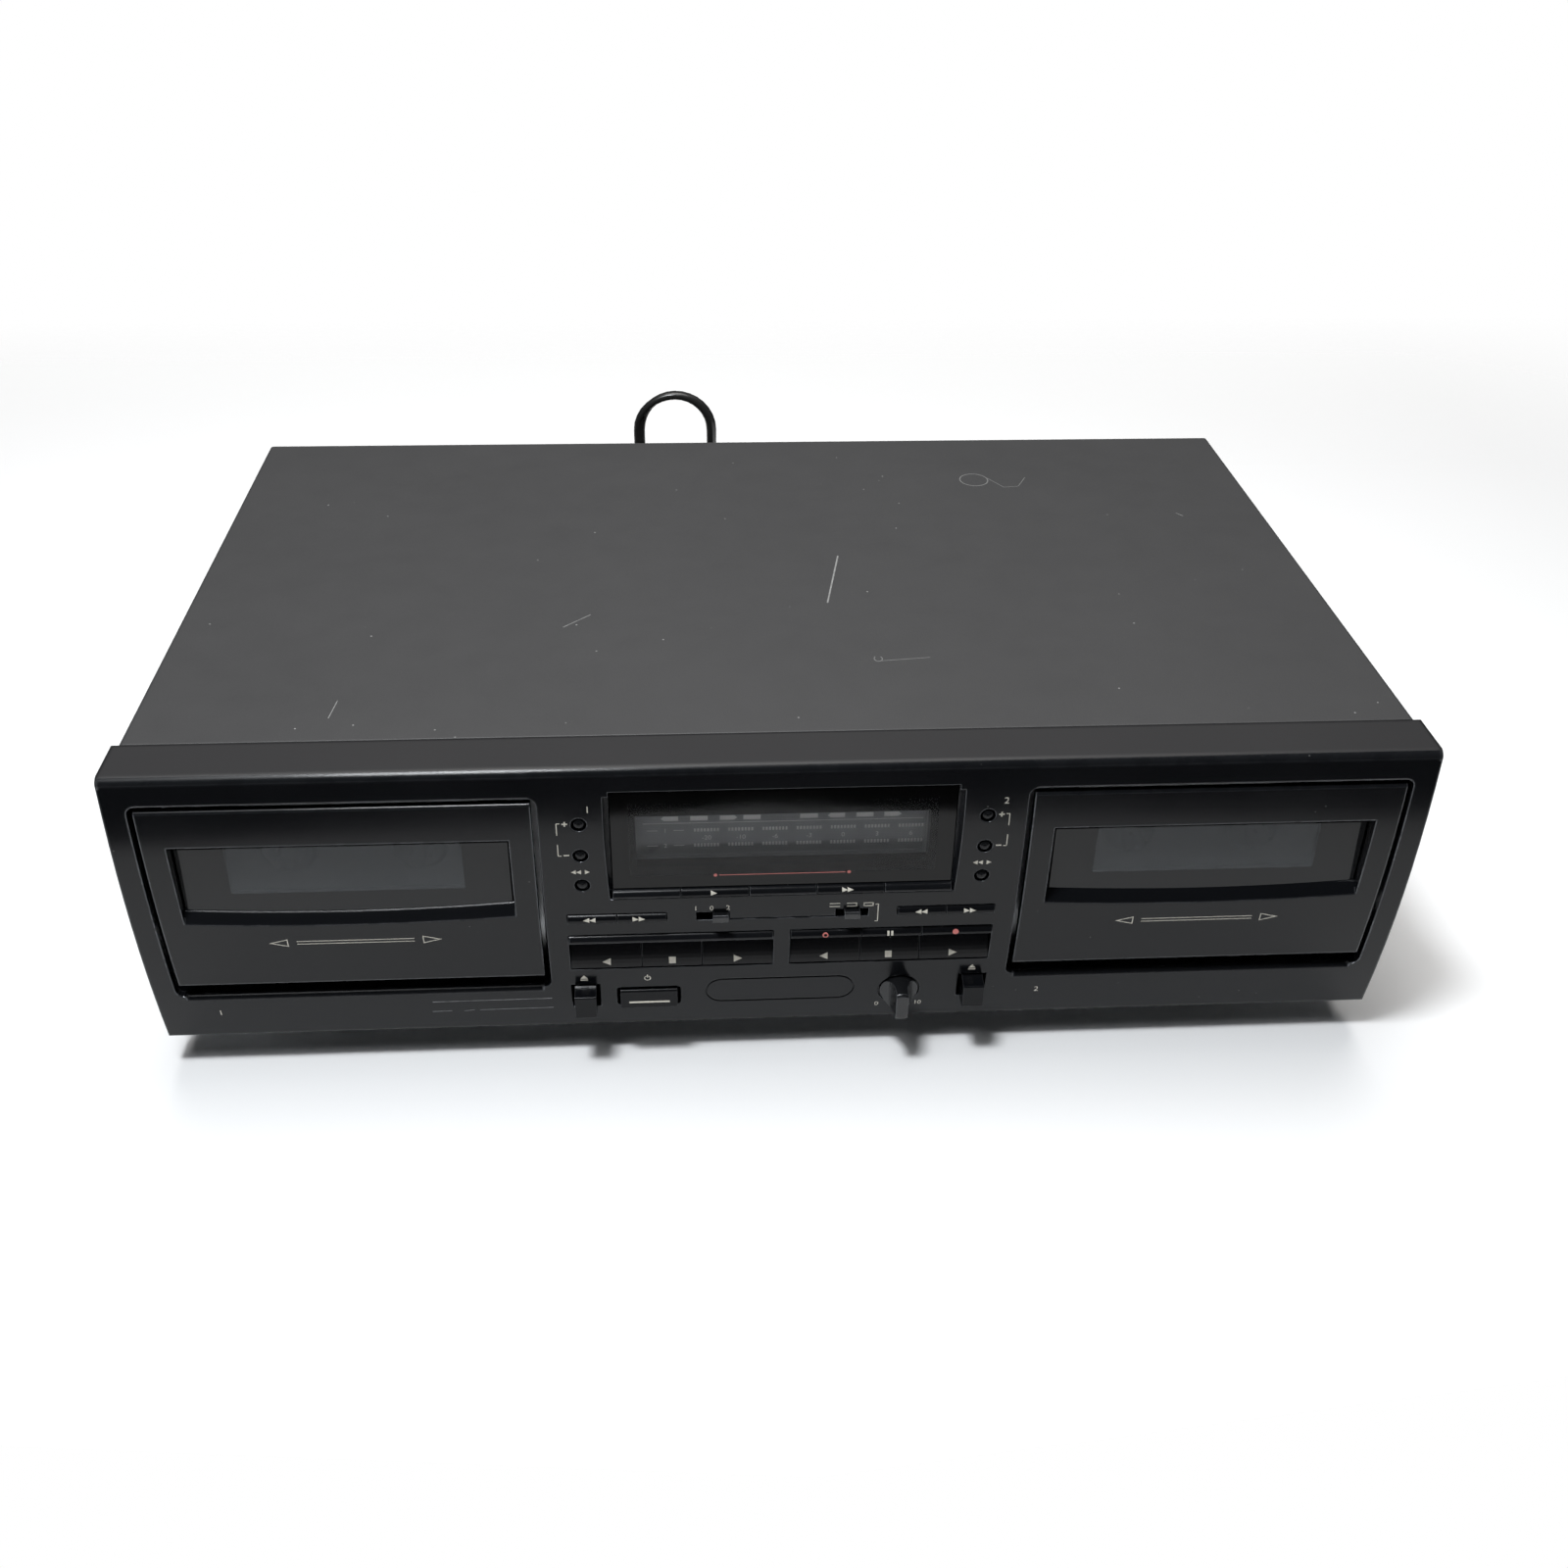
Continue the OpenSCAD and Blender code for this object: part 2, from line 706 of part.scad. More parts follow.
// Cover, chassis and rear
module top_cover() {
    h = top_z - pz(1.5);
    color(dark_sheet)
        difference() {
            along_y([y_cover, y_rear])
                difference() {
                    round_rect([-cover_x, pz(1.5) - 5], 2 * cover_x, h + 5, cover_r);
                    round_rect(
                        [-cover_x + sheet, pz(1.5) - 10],
                        2 * (cover_x - sheet),
                        h + 10 - sheet,
                        cover_r - sheet + 0.1
                    );
                    translate([-cover_x - 1, pz(1.5) - 11])
                        square([2 * cover_x + 2, 11]);
                }
            for (side = [-1, 1])
                for (y = cover_screws)
                    pin_x(span(side * cover_x, -2, 2), y, screw_z, screw_r + run_fit);
        }
}

cover_screws = [y_cover + 45, y_rear - 35];
rear_screws = [-tray_x + 16, -tray_x / 3, tray_x / 3, tray_x - 16];
screw_z = tray_top + 8;

module bottom_chassis() {
    y_in = y_back - sheet;
    color(zinc)
        difference() {
            union() {
                box([-tray_x, tray_x], [y_tray, y_in], [tray_z, tray_top]);
                for (side = [-1, 1])
                    box(
                        about(side * (tray_x - sheet / 2), sheet / 2),
                        [y_cover + 1, y_in],
                        [tray_z, tray_top + 15]
                    );
                box([-tray_x, tray_x], [y_in - sheet, y_in], [tray_z, tray_top + 14]);
                for (p = standoffs)
                    pin_z(p[0], p[1], [tray_z, main_z], 3);
                for (y = [y_front + 73, y_rear - 82])
                    box([-tray_x, tray_x], span(y, -3, 3), [tray_z, tray_top + 1.5]);
            }
            for (side = [-1, 1])
                for (y = cover_screws)
                    pin_x(span(side * tray_x, -3, 3), y, screw_z, screw_r + run_fit);
            for (x = rear_screws)
                pin_y(x, [y_in - 4, y_in + 2], screw_z, screw_r + run_fit);
            for (x = [-150:10:150])
                box(span(x, -1.5, 1.5), span(y_rear, -74, -48), span(tray_z, -1, 3));
        }
}

module rear_panel() {
    color(dark_sheet)
        difference() {
            box([-tray_x, tray_x], [y_back - sheet, y_back], [tray_z, top_z - sheet - slack]);
            for (x = rear_screws)
                pin_y(x, [y_back - 3, y_back + 2], screw_z, screw_r + run_fit);
            for (i = [-0.5, 0.5])
                for (j = [0, 1])
                    pin_y(
                        jack_x + i * jack_pitch,
                        [y_back - 3, y_back + 2],
                        pz(jack_z + j * jack_pitch),
                        jack_r + 1.6
                    );
            pin_y(relief_x, [y_back - 3, y_back + 2], pz(relief_z), 5.2);
        }
}

module feet() {
    color(rubber)
        for (x = about(0, panel_w / 2 - foot_side))
            for (y = [y_front + foot_front, y_rear - foot_rear])
                translate([x, y, 0])
                    rotate_extrude()
                        polygon([
                            [4, 2], [foot_r - 4, 2], [foot_r - 3.4, 0], [foot_r - 1.2, 0], [foot_r - 0.6, 0.6],
                            [foot_r, tray_z - 1], [foot_r, tray_z], [2, tray_z], [2, tray_z - 4], [4, tray_z - 4]
                        ]);
}

// Screw along Z with its head's seat at the origin
module screw() {
    difference() {
        rotate_extrude()
            polygon([
                [0, 1.7], [1.6, 1.6], [2.5, 1.2], [screw_head_r, 0.4], [screw_head_r, 0],
                [screw_r, 0], [screw_r, -5], [screw_r - 0.6, -6], [0, -6]
            ]);
        for (turn = [0, 90])
            rotate(turn)
                box(about(0, screw_r), about(0, 0.4), [0.5, 3]);
    }
}

module case_screws() {
    color(steel) {
        for (side = [-1, 1])
            for (y = cover_screws)
                translate([side * cover_x, y, screw_z])
                    rotate([0, side * 90, 0])
                        screw();
        for (x = rear_screws)
            translate([x, y_back, screw_z])
                rotate([-90, 0, 0])
                    screw();
    }
}

// Doors
module door_outline() {
    difference() {
        intersection() {
            translate([y_front + face_r, pz(apex_z)])
                circle(r = face_r, $fn = 360);
            translate([y_front - 1, pz(door_z)])
                square([20, door_h]);
        }
        edge_waste(face_y(door_top - door_edge_r), pz(door_top), door_edge_r);
    }
}

// Recess of a door: its lower wall is a sloped cylinder, so that both lower edges curve
module door_recess() {
    lip_y = face_y(lip_z);
    tilt = atan2(lip_rise, y_front + window_y - lip_y);
    intersection() {
        translate([0, lip_y - smile_r * sin(tilt), pz(lip_z) + smile_r * cos(tilt)])
            rotate([tilt - 90, 0, 0])
                cylinder(r = smile_r, h = 120, center = true, $fn = 720);
        box([-recess_w / 2, recess_w / 2], span(y_front, -5, window_y), [pz(lip_z - 4), pz(recess_top)]);
    }
}

window_lo = lip_z + lip_rise - 1.2;

module door(side) {
    color(body_black)
        translate([side * deck_x, 0, 0])
            difference() {
                along_x([-door_w / 2, door_w / 2])
                    door_outline();
                difference() {
                    along_x([-door_w / 2 - 1, door_w / 2 + 1])
                        translate([y_front + face_r, pz(apex_z)])
                            circle(r = face_r - door_t, $fn = 360);
                    box(
                        [-1, 1] * (recess_w / 2 + window_hold + 1.6),
                        [y_front, hold_y],
                        [pz(lip_z - 3), pz(recess_top + window_hold + 1.6)]
                    );
                }
                door_recess();
                box(
                    [-1, 1] * (recess_w / 2 + window_hold + run_fit),
                    [y_front + window_y, hold_y + 1],
                    [pz(window_lo) - run_fit, pz(recess_top + window_hold) + run_fit]
                );
            }
}

module door_window(side) {
    color(smoke)
        translate([side * deck_x, 0, 0])
            box(
                [-1, 1] * (recess_w / 2 + window_hold),
                span(y_front + window_y, 0, window_t),
                [pz(window_lo), pz(recess_top + window_hold)]
            );
}

// Holder: two channels for the cassette's ends, a shelf with room for the heads, and the pivot pins
module cassette_holder(side) {
    x = cassette_w / 2;
    top = pz(door_top - 4);
    low = pz(edge_z) - holder_t;
    color(steel)
        translate([side * deck_x, 0, 0]) {
            for (s = [-1, 1])
                mirror([s < 0 ? 1 : 0, 0, 0]) {
                    box([x, side_x], [hold_y, lip_y], [low, top]);
                    box([x - 7, side_x], [hold_y, cass_y], [low, top]);
                    box([x - 4, side_x], [cass_back, lip_y], [low, top]);
                    box([x - 8, side_x], [hold_y, lip_y], [low, low + holder_t]);
                    box([x, side_x], span(pivot_y, -3, 3), [pz(pivot_z), low + 1]);
                    pin_x([x, side_x], pivot_y, pz(pivot_z), 3.6);
                    pin_x([side_x - eps, ear_x + ear_t + 0.8], pivot_y, pz(pivot_z), pivot_r);
                }
            box([-side_x, side_x], [hold_y, cass_y], [low, low + holder_t]);
            box([-side_x, side_x], [hold_y, cass_y], [pz(lip_z - 3), pz(lip_z)]);
        }
}

// Mechanism
module deck_frames() {
    color(zinc)
        for (side = [-1, 1])
            translate([side * deck_x, 0, 0])
                difference() {
                    union() {
                        box([-1, 1] * frame_w / 2, [plate_y, plate_y + plate_t], [tray_top, pz(door_top)]);
                        box([-1, 1] * frame_w / 2, [plate_y, plate_y + 14], [tray_top, tray_top + plate_t]);
                        box([-1, 1] * frame_w / 2, [back_y, back_y + plate_t], [pz(8), pz(door_top)]);
                        for (x = [-53, 53])
                            for (z = [12, door_top - 6])
                                pin_y(x, [plate_y + 1, back_y + 1], pz(z), 3);
                        for (s = [-1, 1]) {
                            box(
                                about(s * (ear_x + ear_t / 2), ear_t / 2),
                                [pivot_y, plate_y + 1],
                                span(pz(pivot_z), -3.6, 3.6)
                            );
                            pin_x(about(s * (ear_x + ear_t / 2), ear_t / 2), pivot_y, pz(pivot_z), 4.2);
                            pin_y(s * capstan_pitch / 2, [plate_y + 1, wheel_y - 1], pz(capstan_z), 4);
                            pin_y(s * 14, [plate_y - 3, plate_y + 1], pz(edge_z - 8), 1.5);
                        }
                        pin_y(motor_at[0], [back_y + 1, back_y + plate_t + motor_l], pz(motor_at[1]), motor_r);
                        pin_y(motor_at[0], [wheel_y, back_y + 1], pz(motor_at[1]), 1.6);
                        pin_y(motor_at[0], span(wheel_y, 0, flywheel_t), pz(motor_at[1]), pulley_r);
                    }
                    for (s = [-1, 1]) {
                        pin_x(
                            about(s * (ear_x + ear_t / 2), ear_t / 2 + 1),
                            pivot_y,
                            pz(pivot_z),
                            pivot_r + run_fit
                        );
                        pin_y(
                            s * capstan_pitch / 2,
                            [plate_y - 1, wheel_y],
                            pz(capstan_z),
                            capstan_r + run_fit
                        );
                        pin_y(s * hub_pitch / 2, [plate_y - 1, plate_y + plate_t + 1], pz(hub_z), 1.5 + run_fit);
                    }
                }
}

// Hub with its stub in the frame, a drum and three fins
module reel_hub(side, s) {
    tip = cass_y + 2;
    color(key_black)
        translate([side * deck_x + s * hub_pitch / 2, plate_y, pz(hub_z)])
            rotate([90, 0, 0]) {
                rotate_extrude()
                    polygon([
                        [0, -plate_t - 1.5], [1.5, -plate_t - 1.5], [1.5, 0.6], [9, 0.6], [9, 2], [7.6, 2.8],
                        [hub_r + 0.6, 2.8], [hub_r, 3.4], [hub_r, plate_y - tip - 2],
                        [hub_r - 1.8, plate_y - tip], [0, plate_y - tip]
                    ]);
                for (a = [0, 120, 240])
                    rotate(a)
                        translate([0, -0.6, 2])
                            cube([fin_r, 1.2, plate_y - tip - 5]);
            }
}

// Capstan and its flywheel, with a turned-out rim
module capstan_flywheel(side, s) {
    color(brass)
        translate([side * deck_x + s * capstan_pitch / 2, wheel_y, pz(capstan_z)])
            rotate([-90, 0, 0])
                rotate_extrude()
                    polygon([
                        [0, cass_y + 1 - wheel_y], [capstan_r, cass_y + 1 - wheel_y], [capstan_r, 0], [6, 0], [6, 1.5],
                        [flywheel_r - 6, 1.5], [flywheel_r - 5, 0], [flywheel_r, 0], [flywheel_r, flywheel_t],
                        [flywheel_r - 5, flywheel_t], [flywheel_r - 6, flywheel_t - 2], [6, flywheel_t - 2],
                        [6, flywheel_t], [capstan_r, flywheel_t], [capstan_r, back_y - wheel_y - slack],
                        [0, back_y - wheel_y - slack]
                    ]);
}

// Sliding plate with the head in its shield and a pinch roller on each arm
module head_carriage(side) {
    y = plate_y - slack;
    top = pz(edge_z) - 1;
    x = capstan_pitch / 2;
    color(steel)
        translate([side * deck_x, 0, 0]) {
            difference() {
                union() {
                    box([-24, 24], [y - 1.6, y], [pz(edge_z - 14), pz(edge_z - 2.6)]);
                    box([-9, 9], [cass_y + 2, y - 1], [pz(edge_z - 9), pz(edge_z - 7.4)]);
                    box([-6.5, 6.5], [cass_y + 1, cass_y + 9.5], [pz(edge_z - 8), top - 1.4]);
                    intersection() {
                        box([-5.6, 5.6], [cass_y + 1.6, cass_y + 8.8], [pz(edge_z - 8), top]);
                        pin_y(0, [cass_y, cass_y + 10], top - 14, 14);
                    }
                    for (s = [-1, 1]) {
                        box(about(s * x / 2, x / 2 + 3), [y - 1.6, y], span(pz(roller_z), -3, 3));
                        pin_y(s * x, [cass_y + 1, y - 1], pz(roller_z), 1);
                    }
                }
                for (s = [-1, 1])
                    box(
                        about(s * 14, 1.5 + run_fit),
                        [y - 3, y + 1],
                        span(pz(edge_z - 8), -head_lift - 2, 1.5 + run_fit)
                    );
            }
            for (s = [-1, 1])
                difference() {
                    pin_y(s * x, [cass_y + 1.4, y - 2.2], pz(roller_z), roller_r);
                    pin_y(s * x, [cass_y, y], pz(roller_z), 1 + run_fit);
                }
        }
}

// Belt round one flywheel and the motor pulley; the other flywheel runs on its outside
module drive_belts() {
    color(rubber)
        for (side = [-1, 1])
            translate([side * deck_x, 0, 0])
                along_y(span(wheel_y, 1.5, flywheel_t - 1.5))
                    difference() {
                        belt_outline(belt_gap + belt_t);
                        belt_outline(belt_gap);
                    }
}

module belt_outline(grow) {
    hull() {
        translate([-capstan_pitch / 2, pz(capstan_z)])
            circle(r = flywheel_r + grow, $fn = 64);
        translate([motor_at[0], pz(motor_at[1])])
            circle(r = pulley_r + grow, $fn = 24);
    }
}

// Display and boards
module display_lens() {
    color(smoke)
        box(
            [-1, 1] * (disp_w / 2 - cap_gap),
            span(lens_y, 0, lens_t),
            [pz(lens_z), pz(disp_top) - cap_gap]
        );
}

module display_tube() {
    color("#39423f")
        difference() {
            union() {
                box([-1, 1] * tube_w / 2, span(tube_y, 0, 6), span(pz(tube_z), 0, tube_h));
                pin_x([tube_w / 2 - 1, tube_w / 2 + 4], tube_y + 3, pz(tube_z + tube_h / 2), 1.6);
                for (s = [-1, 1])
                    box(span(s * (tube_w / 2 - 8), -6, 6), [tube_y + 5, y_board], span(pz(tube_z), 2, tube_h - 2));
            }
            box([-1, 1] * (tube_w / 2 - 3), span(tube_y, -1, 0.5), span(pz(tube_z), 3, tube_h - 3));
        }
}

main_y = [y_front + 78, y_rear - 30];
main_x = [-80, 180];
main_z = tray_top + 7;
standoffs = [
    for (x = [main_x[0] + 8, mid(main_x), main_x[1] - 8])
        for (y = [main_y[0] + 8, main_y[1] - 8])
            [x, y]
];

module circuit_boards() {
    color(board_green) {
        difference() {
            union() {
                along_y(span(y_board, 0, 1.6))
                    polygon([
                        [-58, pz(5)], [58, pz(5)], [58, pz(28)], [76, pz(28)], [76, pz(104)], [-76, pz(104)],
                        [-76, pz(28)], [-58, pz(28)]
                    ]);
                box(span(knob_x, -8, 8), [y_board - 6, y_board + 1], span(pz(knob_z), -8, 9));
            }
            pin_y(knob_x, [y_board - 8, y_board - 0.5], pz(knob_z), shaft_r + run_fit);
        }
        box(main_x, main_y, span(main_z, 0, 1.6));
        for (i = [0:3])
            pin_z(main_x[0] + 30 + 16 * i, main_y[0] + 24, span(main_z, 1, 26), 6);
        for (i = [0:4])
            pin_z(main_x[1] - 24 - 13 * i, main_y[0] + 46, span(main_z, 1, 14), 4);
        for (i = [0:4])
            box(span(main_x[0] + 60 + 34 * i, 0, 22), span(main_y[1], -60, -52), span(main_z, 1, 5));
        box(span(main_x[0], 14, 54), span(main_y[1], -34, -31), span(main_z, 1, 34));
        for (i = [0:7])
            box(span(main_x[0] + 14 + 5.4 * i, 0, 1.6), span(main_y[1], -34, -20), span(main_z, 1, 34));
    }
}

module transformer() {
    at = [-panel_w / 2 + coil_side, y_rear - coil_rear, tray_top];
    color("#6f6f72")
        translate(at) {
            difference() {
                box([-30, 30], [-13, 13], [0, 50]);
                for (s = [-1, 1])
                    box(span(s * 15, -5, 5), [-14, 14], [10, 40]);
            }
            box([-19.5, 19.5], [-22, 22], [10.5, 39.5]);
            for (s = [-1, 1])
                box(span(s * 34, -7, 7), [-13, 13], [0, 1.6]);
        }
}

// Block of phono jacks, each with a collar in the rear panel, a shell and a bore
module phono_jacks() {
    y_in = y_back - sheet;
    color(key_black)
        difference() {
            union() {
                box(
                    about(jack_x, jack_pitch / 2 + 8),
                    [y_in - 11, y_in],
                    span(pz(jack_z), -8, jack_pitch + 8)
                );
                for (i = [-0.5, 0.5])
                    for (j = [0, 1]) {
                        pin_y(
                            jack_x + i * jack_pitch,
                            [y_in - 1, y_back + jack_collar],
                            pz(jack_z + j * jack_pitch),
                            jack_r + 1.3
                        );
                        pin_y(
                            jack_x + i * jack_pitch,
                            [y_in - 1, y_back + jack_collar + jack_l],
                            pz(jack_z + j * jack_pitch),
                            jack_r
                        );
                    }
            }
            for (i = [-0.5, 0.5])
                for (j = [0, 1])
                    pin_y(jack_x + i * jack_pitch, [y_in - 6, y_rear + 30], pz(jack_z + j * jack_pitch), 1.7);
        }
}

// Keys and other controls
module main_key(side, i) {
    x = key_span(side, i);
    z = [key_z, ridge_z - cap_gap];
    back = key_floor - key_travel - 0.4;
    color(key_black) {
        along_x(x)
            polygon(slope_points(z, key_dish, back));
        stem(mid(x), key_z + 5.5, [back - 0.5, stem_end]);
    }
}

module ridge_key(i) {
    x = key_span(1, i);
    back = key_floor - key_travel - 0.4;
    color(key_black) {
        ridge(x, [ridge_z, ridge_z + ridge_h], ridge_out, back, ridge_r);
        stem(mid(x), ridge_z + ridge_h / 2, [back - 0.5, stem_end]);
    }
}

module seek_key(side, i) {
    x = seek_span(side, i);
    back = seek_floor - key_travel - 0.4;
    color(key_black) {
        ridge(x, [seek_z, seek_z + seek_h], seek_out, back, bar_r);
        stem(mid(x), seek_z + seek_h / 2, [back - 0.5, stem_end]);
    }
}

module copy_key(i) {
    x = copy_span(i);
    back = copy_floor - key_travel - 0.4;
    color(key_black) {
        ridge(x, [disp_z + cap_gap, disp_z + cap_gap + copy_h], copy_out, back, bar_r);
        stem(mid(x), disp_z + cap_gap + copy_h / 2, [back - 0.5, stem_end]);
    }
}

// Small round button, with a domed end and a collar behind the panel's wall
module round_button(side, i) {
    z = button_z + i * button_pitch;
    y = face_y(z) + 0.4;
    collar = inner_y(z - button_r - 1) + slack - y;
    color(key_black)
        translate([side * button_x, y, pz(z)])
            rotate([-90, 0, 0])
                rotate_extrude()
                    polygon([
                        [0, -0.5], [button_r - 1.4, -0.4], [button_r - 0.7, -0.1], [button_r - 0.2, 0.4],
                        [button_r, 1], [button_r, collar],
                        [button_r + 0.9, collar], [button_r + 0.9, collar + 1], [button_r - 0.6, collar + 1],
                        [button_r - 0.6, stem_end - y], [0, stem_end - y]
                    ]);
}

// Slide switch knob with a plate behind its slot; at is its place from the slot's middle
module slide_knob(side, at) {
    x = side * slide_x + at;
    z = pz(slide_z);
    y = face_y(slide_z) - slide_out;
    plate = inner_y(slide_z - slot_h / 2 - 1.4) + slack;
    color(key_black) {
        along_x(about(x, slide_w / 2))
            polygon([
                [y + 0.5, z - slot_h / 2 + fit_gap], [y, z - slot_h / 2 + fit_gap + 0.5],
                [y, z + slot_h / 2 - fit_gap - 0.5], [y + 0.5, z + slot_h / 2 - fit_gap],
                [plate + 0.5, z + slot_h / 2 - fit_gap], [plate + 0.5, z - slot_h / 2 + fit_gap]
            ]);
        box(about(x, slide_w / 2 + 1.6), span(plate, 0, 1.2), about(z, slot_h / 2 + 1.2));
    }
}

// Eject key: a bar with a dished upper side, and a collar behind its guide
module eject_key(side) {
    x = about(side * eject_x, eject_w / 2);
    z = [pz(eject_z), pz(eject_z + eject_h)];
    collar = y_front + panel_return + slack;
    dish_r = eject_out + 2.8;
    color(key_black)
        difference() {
            union() {
                box(x, [eject_y, collar + 14], z);
                box(x + [-1, 1] * (eject_gap + 1.2), span(collar, 0, 2), z + [-1.5, 1.5]);
            }
            pin_x(x + [-1, 1], eject_y + 0.8, z[1] - eject_dish + dish_r, dish_r);
            along_x(x + [-1, 1])
                edge_waste(eject_y, z[1] - eject_dish + 0.04, eject_r);
            translate([0, eject_y, z[0]])
                rotate([45, 0, 0])
                    box(x + [-1, 1], [-0.4, 0.4], [-0.4, 0.4]);
        }
}

module power_key() {
    x = about(power_x, power_w / 2);
    back = power_floor - 2.5 - 0.4;
    color(key_black) {
        ridge(x, [power_z, power_z + power_h], power_out, back, power_r);
        stem(power_x, power_z + power_h / 2, [back - 0.5, y_board - 2.5 - 0.6]);
    }
}

// Level knob: skirt, bar grip between two hollow flanks, and shaft
module level_knob() {
    front = face_y(knob_z) - knob_out;
    seat = knob_seat - slack - front;
    skirt = seat - 1.6;
    color(key_black)
        translate([knob_x, front, pz(knob_z)])
            rotate([-90, 0, 0])
                difference() {
                    rotate_extrude()
                        polygon([
                            [0, 0], [knob_r - 1.8, 0], [knob_r - 1, 0.8], [knob_r, skirt], [knob_r, seat],
                            [shaft_r, seat], [shaft_r, y_board - front - 1], [0, y_board - front - 1]
                        ]);
                    for (s = [-1, 1])
                        translate([0, knob_r + 1, 0])
                            rotate([90, 0, 0])
                                linear_extrude(2 * knob_r + 2)
                                    knob_flank(s, skirt);
                }
}

// Waste beside the grip: straight at the tip, then an arc out to the skirt
module knob_flank(s, skirt) {
    deep = skirt - grip_l;
    turn = asin(min(1, deep / flank_r));
    polygon(concat(
        [[s * (knob_r + 2), skirt], [s * (knob_r + 2), -1], [s * grip_w / 2, -1]],
        [
            for (i = [0:8])
                [s * (grip_w / 2 + flank_r - flank_r * cos(turn * i / 8)), grip_l + flank_r * sin(turn * i / 8)]
        ]
    ));
}

// Mains lead
relief_tip = y_back + relief_l;
relief_at = pz(relief_z);
low = cord_t / 2 + 0.2;
far = y_rear + 42;

// Bushing in the rear panel with a ribbed, tapered sleeve
module strain_relief() {
    color(rubber)
        translate([relief_x, y_back, relief_at])
            rotate([-90, 0, 0])
                rotate_extrude()
                    polygon([
                        [0, -sheet - 4], [4.4, -sheet - 4], [5.6, -sheet - 0.3], [5, -sheet - 0.3], [5, 0], [7, 0],
                        [7, 3], [5.4, 4], [5.2, 8], [4.4, 8], [4.4, 9.5], [5, 9.5], [4.8, 13.5], [4, 13.5], [4, 15],
                        [4.6, 15], [4.4, 19], [3.7, 19], [3.7, 20.5], [4.1, 20.5], [3.8, relief_l], [0, relief_l]
                    ]);
}

// Point t of the way from b to c on a smooth curve through a, b, c and d
function curve(a, b, c, d, t) =
    0.5 * (2 * b + (c - a) * t + (2 * a - 5 * b + 4 * c - d) * t * t + (3 * b - a - 3 * c + d) * t * t * t);

// Smooth curve through the inner points, with n steps from each to the next and straight ends
function smooth(p, n) = concat(
    [p[0]],
    [
        for (i = [1:len(p) - 3])
            for (j = [0:n - 1])
                curve(p[i - 1], p[i], p[i + 1], p[i + 2], j / n)
    ],
    [p[len(p) - 2], p[len(p) - 1]]
);

function unit(v) = v / norm(v);

// Direction across the flat cord at a point of its route
function across(d) = norm([d[0], d[1]]) < 0.02 ? [0, 1, 0] : unit([-d[1], d[0], 0]);

// Tube of flat round section along the route; sides is the number of faces around it
module tube(route, wide, sides, first, last) {
    n = len(route);
    points = [
        for (i = [0:n - 1])
            let (d = i == 0 ? first : i == n - 1 ? last : unit(route[i + 1] - route[i - 1]))
            let (w = wide[i])
            let (h = unit(cross(d, w)))
            for (k = [0:sides - 1])
                let (a = 360 * (k + 0.5) / sides)
                route[i] + w * cord_w / 2 * cos(a) + h * cord_t / 2 * sin(a)
    ];
    sides_faces = [
        for (i = [0:n - 2])
            for (k = [0:sides - 1])
                let (a = i * sides + k)
                let (b = i * sides + (k + 1) % sides)
                for (f = [[a, b + sides, b], [a, a + sides, b + sides]])
                    f
    ];
    caps = concat(
        [for (k = [1:sides - 2]) [0, k, k + 1]],
        [for (k = [1:sides - 2]) [(n - 1) * sides, (n - 1) * sides + k + 1, (n - 1) * sides + k]]
    );
    polyhedron(points, concat(sides_faces, caps));
}

// Free stretch, from the strain relief down to the floor and up to the hank
cord_marks = [
    [relief_x, relief_tip, relief_at],
    [relief_x, relief_tip + 6, relief_at],
    [relief_x + 0.5, relief_tip + 17, relief_at - 2],
    [relief_x + 4, relief_tip + 28, relief_at - 11],
    [relief_x + 11, relief_tip + 32, relief_at - 24],
    [relief_x + 21, relief_tip + 28.5, low + 4.8],
    [relief_x + 32, relief_tip + 21.5, low + 0.7],
    [hank_x - 12, far, low],
    [hank_x - 6, far, low]
];
cord_route = smooth(cord_marks, 3);

module power_cord() {
    n = len(cord_route);
    wide = [
        for (i = [0:n - 1])
            i == 0 ? [-1, 0, 0] : i == n - 1 ? [0, 1, 0] : across(cord_route[i + 1] - cord_route[i - 1])
    ];
    color(rubber)
        tube(cord_route, wide, 8, [0, 1, 0], [1, 0, 0]);
}

// Half width of a loop at a height, drawn in at the tie
tie_z = low + (hank_h - low) / 2;
function half(z) = fold_r - (fold_r - waist) * pow(max(0, cos(180 * min(1, abs(z - tie_z) / 68))), 2);

// Share of a step made at a height on the way down, the same for every loop
function climb(z) = min(1, max(0, (hank_h - fold_r - z) / (hank_h - low - 2 * fold_r)));

// Point u of the way round loop k, from the middle of its lower fold
function loop_point(k, u) =
    let (top = (k == arch_n ? arch_h : hank_h) - fold_r)
    let (foot = low + fold_r)
    let (y = far - hank_step * (u < 0.875 ? k : k + 1))
    let (a = u < 0.125 ? u * 720 - 90 : u < 0.625 ? (u - 0.375) * 720 : (u - 0.875) * 720 + 180)
    u < 0.125 || u >= 0.875 ? [hank_x + fold_r * cos(a), y, foot + fold_r * sin(a)]
    : u < 0.375 ? let (z = foot + (top - foot) * (u - 0.125) / 0.25) [hank_x + half(z), y, z]
    : u < 0.625 ? [hank_x + fold_r * cos(a), y, top + fold_r * sin(a)]
    : let (z = top - (top - foot) * (u - 0.625) / 0.25) [hank_x - half(z), y - hank_step * climb(z), z];

